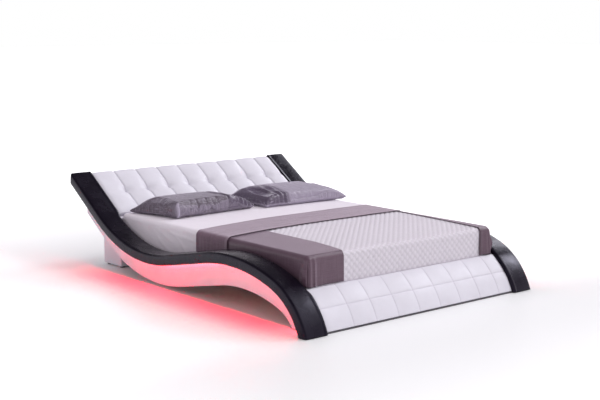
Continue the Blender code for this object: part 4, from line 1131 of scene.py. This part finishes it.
# %% [markdown]
# The wide cover band lies across the bed over the sheet's edge. Its cloth is the cover cloth
# painted lighter and with less gloss, to stand in for the brighter light on its top: painted light.
# Its long hems are thicker, and its foot hem stands up a little from the near strip, which casts
# the dark line under it; the hem number also adds painted shade along its edges.

# %% Cover band
BAND_LIFT = 2 * LAYER


def band_folds(a, b, run, fall):
    grow = np.clip(fall / 0.2, 0, 1)
    upright = (0.0010 * np.sin(run * 190 + 2 * soft_noise(run * 20, fall * 2, 71))
               + 0.0014 * soft_noise(run * 50, fall * 3, 72))
    top = 0.0006 * soft_noise(a * 5, b * 30, 73) + 0.0004 * soft_noise(a * 14, b * 22, 74)
    flat_b = b - band_skew(a)
    hem = 0.0014 * bell(flat_b - BAND_FOOT, 0.012) + 0.0010 * bell(flat_b - BAND_HEAD, 0.010)
    near_edge = np.clip((np.abs(a) - 0.25) / 0.3, 0, 1) * (a < 0)
    raised = 0.0040 * bell(flat_b - BAND_FOOT, 0.030) * near_edge
    return np.where(fall > 0, 0.003 * grow + upright * grow, top + LEAST_SWING) + hem + raised


bm = new_mesh()
band_across, band_width = hanging_width(BAND_LIFT, 0.014)
band_along = stations(BAND_FOOT, (BAND_FOOT + 0.016, 0.004), (BAND_HEAD - 0.016, 0.009),
                      (BAND_HEAD, 0.004))
verts, a, b = laid_grid(bm, band_across, band_along)
lay(bm, verts, a, b + band_skew(a), BAND_LIFT, band_folds)
hem_stitch_and_edge_shade(bm, lambda a, b: np.minimum(b - BAND_FOOT, BAND_HEAD - b))
band = thicken(finished(bm, "cover_band_cloth", band_cloth_painted_lighter, "cover_cloth", "cover_band"),
               BAND_THICKNESS)
print("Band", round(band_width, 3), "by", BAND_WIDTH, "m")

# %% [markdown]
# Parts of the pillow cases are satin. On a pillow the seam number says how much of a place is
# satin, and the run number how much paler its linen is: the right case is paler than the left one
# all over, and faces turned to the front are painted paler, which is painted light. So one material
# blends both cloths.

# %% Pillow cloth
SATIN, LIGHTER_AND_FRONT_LIT = "seam", "run"
# The paler linen colour: the right case takes it all over, and faces turned to the front take more
# of it, which is painted light.
LIGHTER_AND_FRONT_LIT_COLOUR = (0.50, 0.45, 0.565)
SATIN_COLOUR, SATIN_SHADE = (0.140, 0.112, 0.165), (0.100, 0.078, 0.120)
SATIN_GLOSS = -0.21

pillow_cloth = make_cloth("pillow_cloth", (0.140, 0.112, 0.148), (0.078, 0.060, 0.082), 0.46, 700.0,
                          0.4, (1.0, 0.30, (0.92, 0.88, 1.0)), (0.75, (0.30, 0.26, 0.33)),
                          Specular_IOR_Level=0.6)
tree = pillow_cloth.node_tree
shown = tree.nodes["Principled BSDF"].inputs
linen_tone, linen_rough = (shown[key].links[0].from_socket for key in ("Base Color", "Roughness"))
# The linen made paler: all over the right case, and as painted light on faces turned to the front.
linen_tone = blend_colours(tree, attribute(tree, LIGHTER_AND_FRONT_LIT), linen_tone, LIGHTER_AND_FRONT_LIT_COLOUR)
satin = attribute(tree, SATIN)
satin_tone = blend_colours(tree, noise(tree, object_place(tree), 30.0, 3.0), SATIN_COLOUR,
                           SATIN_SHADE)
tree.links.new(blend_colours(tree, satin, linen_tone, satin_tone), shown["Base Color"])
tree.links.new(maths(tree, "MULTIPLY_ADD", satin, SATIN_GLOSS, linen_rough), shown["Roughness"])
print("Pillow cloth with", len(tree.nodes), "nodes")

# %% [markdown]
# A pillow's skin is under tension from its filling. So the shaped form is remeshed into even
# small squares and blown up a little as cloth, with a cap on how far a point may go. Gathers
# and sewn lines come after it, because a remesh would smooth them away.

# %% Blowing up a form
VOXEL = 0.006
BLOW_FRAMES = 20
BLOW_PRESSURE = 4.0
BLOW_CAP = 0.012


def coordinates(mesh):
    points = np.empty(len(mesh.vertices) * 3)
    mesh.vertices.foreach_get("co", points)
    return points.reshape(-1, 3)


def blown_up(bm, name):
    mesh = bpy.data.meshes.new(name)
    bm.to_mesh(mesh)
    bm.free()
    form = put_in(bpy.data.objects.new(name, mesh))
    remesh = form.modifiers.new("even", "REMESH")
    remesh.mode = "VOXEL"
    remesh.voxel_size = VOXEL
    graph = bpy.context.evaluated_depsgraph_get()
    skin = bpy.data.meshes.new_from_object(form.evaluated_get(graph))
    form.modifiers.clear()
    form.data = skin
    start = coordinates(skin)
    cloth = form.modifiers.new("skin", "CLOTH")
    cloth.settings.quality = 5
    cloth.settings.use_pressure = True
    cloth.settings.uniform_pressure_force = BLOW_PRESSURE
    cloth.settings.effector_weights.gravity = 0.0
    cloth.settings.shrink_min = -0.04
    cloth.point_cache.frame_end = BLOW_FRAMES
    for frame_number in range(1, BLOW_FRAMES + 1):
        scene.frame_set(frame_number)
    graph = bpy.context.evaluated_depsgraph_get()
    gone = coordinates(form.evaluated_get(graph).data) - start
    far = np.linalg.norm(gone, axis=1, keepdims=True)
    print(name, "moved at most", round(float(far.max()), 4), "m before the cap")
    start = start + gone * np.minimum(1.0, BLOW_CAP / np.maximum(far, 1e-9))
    form.modifiers.clear()
    scene.frame_set(1)
    skin.vertices.foreach_set("co", start.ravel())
    swollen = bmesh.new()
    swollen.from_mesh(skin)
    for key in KEPT:
        swollen.verts.layers.float.new(key)
    bpy.data.objects.remove(form)
    return swollen


# %% [markdown]
# The pillows are flat-topped, with steep fronts and a pointed corner pulled out at the outer
# back. Each is a grid over its footprint, raised by ramps of different widths from its four
# edges, and closed by a flat copy below. Its satin is gathered in loose folds.

# %% Pillows
FOLD_ROOM, PILLOW_GAP = 0.0012, 0.0008
PILLOW_REST = TOP_Z + LAYER + FOLD_ROOM + MATTRESS_CROWN + PILLOW_GAP
PILLOW_SEAM = 0.013


def ramped(distance, width, power=3.0):
    """Rises from 0 at an edge to 1 at the given width, steep first."""
    return 1 - (1 - np.clip(distance / width, 0, 1)) ** power


def eased_stations(count):
    even = np.linspace(0, 1, count)
    return 0.6 * (1 - np.cos(even * math.pi)) / 2 + 0.4 * even


def step_up(value, low, high):
    share = np.clip((value - low) / (high - low), 0, 1)
    return share * share * (3 - 2 * share)


def footprint_place(corners, u, v):
    fl, fr, br, bl = (np.array(corner) for corner in corners)
    return (fl * ((1 - u) * (1 - v))[:, None] + fr * (u * (1 - v))[:, None]
            + br * (u * v)[:, None] + bl * ((1 - u) * v)[:, None])


def footprint_share(corners, xy):
    """Finds u and v for points on the footprint, by stepping towards them."""
    u, v = np.full(len(xy), 0.5), np.full(len(xy), 0.5)
    for _ in range(8):
        here = footprint_place(corners, u, v)
        du = (footprint_place(corners, u + 0.01, v) - here) / 0.01
        dv = (footprint_place(corners, u, v + 0.01) - here) / 0.01
        off = xy - here
        area = du[:, 0] * dv[:, 1] - du[:, 1] * dv[:, 0]
        u = u + (off[:, 0] * dv[:, 1] - off[:, 1] * dv[:, 0]) / area
        v = v + (du[:, 0] * off[:, 1] - du[:, 1] * off[:, 0]) / area
    return np.clip(u, 0, 1), np.clip(v, 0, 1)


def pillow(word, corners, tall, lip, widths, dress, seed, lighter_all_over):
    """corners: front left, front right, back right, back left; widths: front, right, back, left."""
    front, right, back, left = widths
    wide = np.linalg.norm(np.subtract(corners[1], corners[0]))
    deep = np.linalg.norm(np.subtract(corners[3], corners[0]))

    def rises(u, v):
        fore = lip * ramped(v * deep, front) + (1 - lip) * ramped(v * deep, 0.26, 1.6)
        along = fore * ramped((1 - v) * deep, back, 2.2)
        across = (ramped(u * wide, left[0] + (left[1] - left[0]) * v)
                  * ramped((1 - u) * wide, right[0] + (right[1] - right[0]) * v, 2.2))
        return across, along

    bm = new_mesh()
    verts, u, v = laid_grid(bm, eased_stations(120), eased_stations(84))
    flat = footprint_place(corners, u, v)
    across, along = rises(u, v)
    dome = 0.97 + 0.05 * (1 - (2 * u - 1) ** 2) * (1 - (2 * v - 1) ** 2)
    top = PILLOW_REST + PILLOW_SEAM + (tall - PILLOW_SEAM) * across * along * dome
    move_to(verts, np.column_stack((flat, top)))
    rim = np.minimum(np.minimum(u * wide, (1 - u) * wide), np.minimum(v * deep, (1 - v) * deep))
    low = PILLOW_REST + PILLOW_SEAM * 0.8 * (1 - np.clip(rim / 0.05, 0, 1)) ** 2
    add_back(bm, verts, np.column_stack((flat, low)))
    bmesh.ops.remove_doubles(bm, verts=bm.verts, dist=WELD)
    bmesh.ops.recalc_face_normals(bm, faces=bm.faces)
    bm = blown_up(bm, f"pillow_form_{word}")

    verts = list(bm.verts)
    points = np.array([tuple(vert.co) for vert in verts])
    bm.normal_update()
    outward = np.array([tuple(vert.normal) for vert in verts])
    u, v = footprint_share(corners, points[:, :2])
    across, along = rises(u, v)
    cloth_a = u * wide + tall * (across - 1) * np.sign(0.5 - u)
    cloth_b = v * deep + tall * (along - 1) * np.sign(0.5 - v)
    keep_number(bm, "across", verts, cloth_a)
    keep_number(bm, "along", verts, cloth_b)
    mask, swell, lighter_front = dress(u, v, u * wide, v * deep, v * deep + tall * along)
    swell = swell + 0.0008 * soft_noise(cloth_a * 55, cloth_b * 24, seed)
    above = np.clip((points[:, 2] - PILLOW_REST - 0.012) / 0.015, 0, 1)
    shown = np.clip((outward[:, 2] + 0.25) * 4, 0, 1) * above
    points = points + outward * (swell * shown)[:, None]
    points[:, 2] = np.maximum(points[:, 2], PILLOW_REST)
    move_to(verts, points)
    keep_number(bm, SATIN, verts, mask * shown)
    # Painted light: faces turned to the front are made paler; the right case is paler all over as
    # well.
    keep_number(bm, LIGHTER_AND_FRONT_LIT, verts, lighter_all_over + lighter_front * np.clip(-outward[:, 1] * 2, 0, 1))
    # Painted shade: the hem number darkens the cloth where it is pulled in, in gathers, sewn lines,
    # seams and hollows.
    keep_number(bm, "hem", verts, 0.6 * np.clip(-swell / 0.006, 0, 1))
    piece = finished(bm, f"pillow_linen_{word}", pillow_cloth, "pillow_cloth", f"pillow_{word}")
    finer = piece.modifiers.new("finer", "SUBSURF")
    finer.levels = finer.render_levels = 1


def folds_of(x, y, count, seed):
    """Loose gathers from -1 to 1: about so many to a metre, uneven in width and in depth."""
    drift = (2.2 * soft_noise(x * count * 0.16, y * 5, seed)
             + 1.2 * soft_noise(x * count * 0.45, y * 9, seed + 1))
    depth = 0.55 + 0.45 * soft_noise(x * count * 0.3, y * 7, seed + 2)
    return (np.sin(x * count * 2 * math.pi + drift * 2) * depth
            + 0.5 * soft_noise(x * count * 1.4, y * 12, seed + 3))


def frill(x, up, top, seed):
    """Small upright gathers below a sewn line, round the front of a case."""
    below = 1 - step_up(up, top - 0.010, top)
    return 0.0030 * folds_of(x, up, 55, seed) * below - 0.0040 * bell(up - top, 0.0045)


def left_dress(u, v, x, y, up):
    """Satin gathered at the inner end, a trim down the front edge, and sewn lines on the front. The
    lower front and the trim are painted paler where they face the front, which is painted light.
    """
    mask = step_up(u, 0.66, 0.70)
    trim = bell(x - 0.014, 0.013) * np.clip(1.4 - v * 9, 0, 1)
    fan = x + 0.10 * (1 - v) * (u - 0.8)
    gather = 0.0058 * folds_of(fan, y, 21, 83) * mask
    sewn = 0.0032 * bell(up - 0.100, 0.0045)
    front = (1 - mask) * (frill(x, up, 0.062, 85) - sewn - 0.0022 * bell(up - 0.125, 0.004))
    lighter_front = np.maximum(0.28 * (1 - step_up(up, 0.080, 0.110)), 0.9 * trim)
    return mask, gather + front - 0.007 * bell(u - 0.672, 0.010), lighter_front


def right_dress(u, v, x, y, up):
    """The inner part of the case is satin, pulled into a hollow, with a sunk seam beside it. The
    hem number paints shade into the seam and the hollow, and the case is painted a little paler
    where it faces the front, which is painted light.
    """
    border = 0.285 + 0.05 * v
    mask = 1 - step_up(u - border, -0.012, 0.012)
    fan = (x - 0.05) * (1 + 0.5 * (1 - v))
    pull = 0.25 + 0.75 * step_up(u, 0.10, 0.22) * np.clip(1.3 - v * 1.6, 0, 1)
    gather = 0.0062 * folds_of(fan, y, 17, 93) * mask * pull
    hollow = 0.022 * bell(u - 0.15, 0.09) * bell(v - 0.40, 0.22)
    front = (1 - mask) * (frill(x, up, 0.075, 95) - 0.0030 * bell(up - 0.115, 0.0045))
    return mask, gather + front - hollow - 0.007 * bell(u - border, 0.009), 0.12


pillow("left", ((-0.657, 0.415), (0.020, 0.440), (-0.030, 0.800), (-0.760, 0.862)),
       0.105, 1.0, (0.035, (0.26, 0.20), 0.15, (0.025, 0.18)), left_dress, 81, 0.0)
pillow("right", ((0.095, 0.392), (0.834, 0.358), (0.800, 0.800), (0.040, 0.850)),
       0.107, 0.62, (0.045, (0.16, 0.22), 0.14, (0.12, 0.20)), right_dress, 91, 0.50)

# %% [markdown]
# The frame's other parts keep their CAD shapes and only get better finishes: planed timber for
# the slats, their ledges and the bar at the foot, plywood for the footboard's shell, painted
# steel, moulded plastic and drawn aluminium. Boards that the red light reaches have a white
# lining. A wood group gives long grain and rings; its direction is turned by Mapping.

# %% Wood group
wood_grain, given, out = new_group("wood_grain", {"Place": None}, ("Tone", "Height"))
wavy = add_node(wood_grain, "TexWave", {"wave_type": "BANDS", "bands_direction": "Y"},
                Vector=given["Place"], Scale=9.0, Distortion=6.0, Detail=3.0, Detail_Scale=1.5)
rings = maths(wood_grain, "MULTIPLY_ADD", wavy.outputs["Fac"], 0.55,
              maths(wood_grain, "MULTIPLY", noise(wood_grain, given["Place"], 6.0, 5.0), 0.45))
wood_grain.links.new(ramp(wood_grain, rings, 0.25, 0.8), out["Tone"])
wood_grain.links.new(noise(wood_grain, given["Place"], 60.0), out["Height"])


def make_wood(name, light, dark, stretch, roughness):
    material, tree, shader = new_material(name)
    drawn = add_node(tree, "Mapping", Vector=object_place(tree), Scale=stretch)
    grain = use_group(tree, wood_grain, Place=drawn.outputs[0])
    tone = blend_colours(tree, grain["Tone"], light, dark)
    rough = ramp(tree, grain["Height"], 0.0, 1.0, roughness - 0.06, roughness + 0.06)
    link_surface(tree, shader, tone, rough, grain["Height"], 0.25, 0.0004)
    return material


def make_plain(name, colour, shade, roughness, scale, bump, **fixed):
    """A hard finish: paint, plastic or metal with a fine texture and uneven gloss."""
    material, tree, shader = new_material(name, **fixed)
    place = object_place(tree)
    cloud = noise(tree, place, 12.0)
    tone = blend_colours(tree, cloud, colour, shade)
    rough = ramp(tree, cloud, 0.2, 0.8, roughness - 0.06, roughness + 0.08)
    link_surface(tree, shader, tone, rough, noise(tree, place, scale, 3.0), bump, 0.0002)
    return material


TIMBER = (0.66, 0.49, 0.31), (0.47, 0.31, 0.17)
timber_across = make_wood("timber_across", *TIMBER, (1.0, 14.0, 14.0), 0.58)
timber_along = make_wood("timber_along", *TIMBER, (14.0, 1.0, 14.0), 0.58)
plywood = make_wood("plywood", (0.68, 0.54, 0.37), (0.52, 0.38, 0.24), (6.0, 1.0, 6.0), 0.64)
black_steel = make_plain("black_steel", (0.022, 0.022, 0.024), (0.032, 0.032, 0.034), 0.46, 1400.0,
                         0.5)
black_plastic = make_plain("black_plastic", (0.018, 0.018, 0.019), (0.028, 0.028, 0.029), 0.52,
                           900.0, 0.4)
white_lining = make_plain("white_lining", (0.80, 0.775, 0.85), (0.755, 0.73, 0.80), 0.5, 900.0, 0.2)
grey_trim = make_plain("grey_trim", (0.085, 0.078, 0.088), (0.11, 0.10, 0.115), 0.5, 900.0, 0.3)
aluminium = make_plain("aluminium", (0.74, 0.74, 0.76), (0.66, 0.66, 0.69), 0.34, 500.0, 0.2,
                       Metallic=1.0)
print("Hard finishes ready")

# %% [markdown]
# The light strips shine red on the valances and the floor. The diffuser's own emission does it,
# a little uneven along its length, where the small lamps behind it sit.

# %% Light strips
GLOW_STRENGTH = 60.0
GLOW_RED, GLOW_PALER = (1.0, 0.013, 0.024), (1.0, 0.018, 0.032)
diffuser, tree, shader = new_material("diffuser", Base_Color=(0.9, 0.35, 0.38, 1.0), Roughness=0.3,
                                      Emission_Strength=GLOW_STRENGTH)
uneven = noise(tree, object_place(tree), 60.0, 0.0)
tree.links.new(blend_colours(tree, uneven, GLOW_RED, GLOW_PALER), shader.inputs["Emission Color"])
print("Strips shine at", GLOW_STRENGTH)

# %% [markdown]
# Last, each carried-over node gets its finish in its own material slot, by how its name starts.

# %% Finishes on the CAD nodes
FINISHES = (
    (timber_along, ("slat_ledge",)), (timber_across, ("slat_", "foot_crossbar")),
    (white_lining, ("head_crossbar", "rail_core", "side_board", "headboard_shell")),
    (plywood, ("footboard_shell",)), (black_steel, ("centre_beam", "centre_leg")),
    (black_plastic, ("screw_foot", "glide", "foot_felt", "light_driver")),
    (grey_trim, ("footboard_trim",)), (aluminium, ("light_channel",)), (diffuser, ("light_strip",)))

dressed = 0
for node in sorted(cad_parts):
    finish = next((finish for finish, starts in FINISHES if node.startswith(starts)), None)
    if finish:
        for place in bpy.data.objects[node].material_slots:
            place.material = finish
        dressed += 1
print("CAD nodes with a new finish:", dressed)
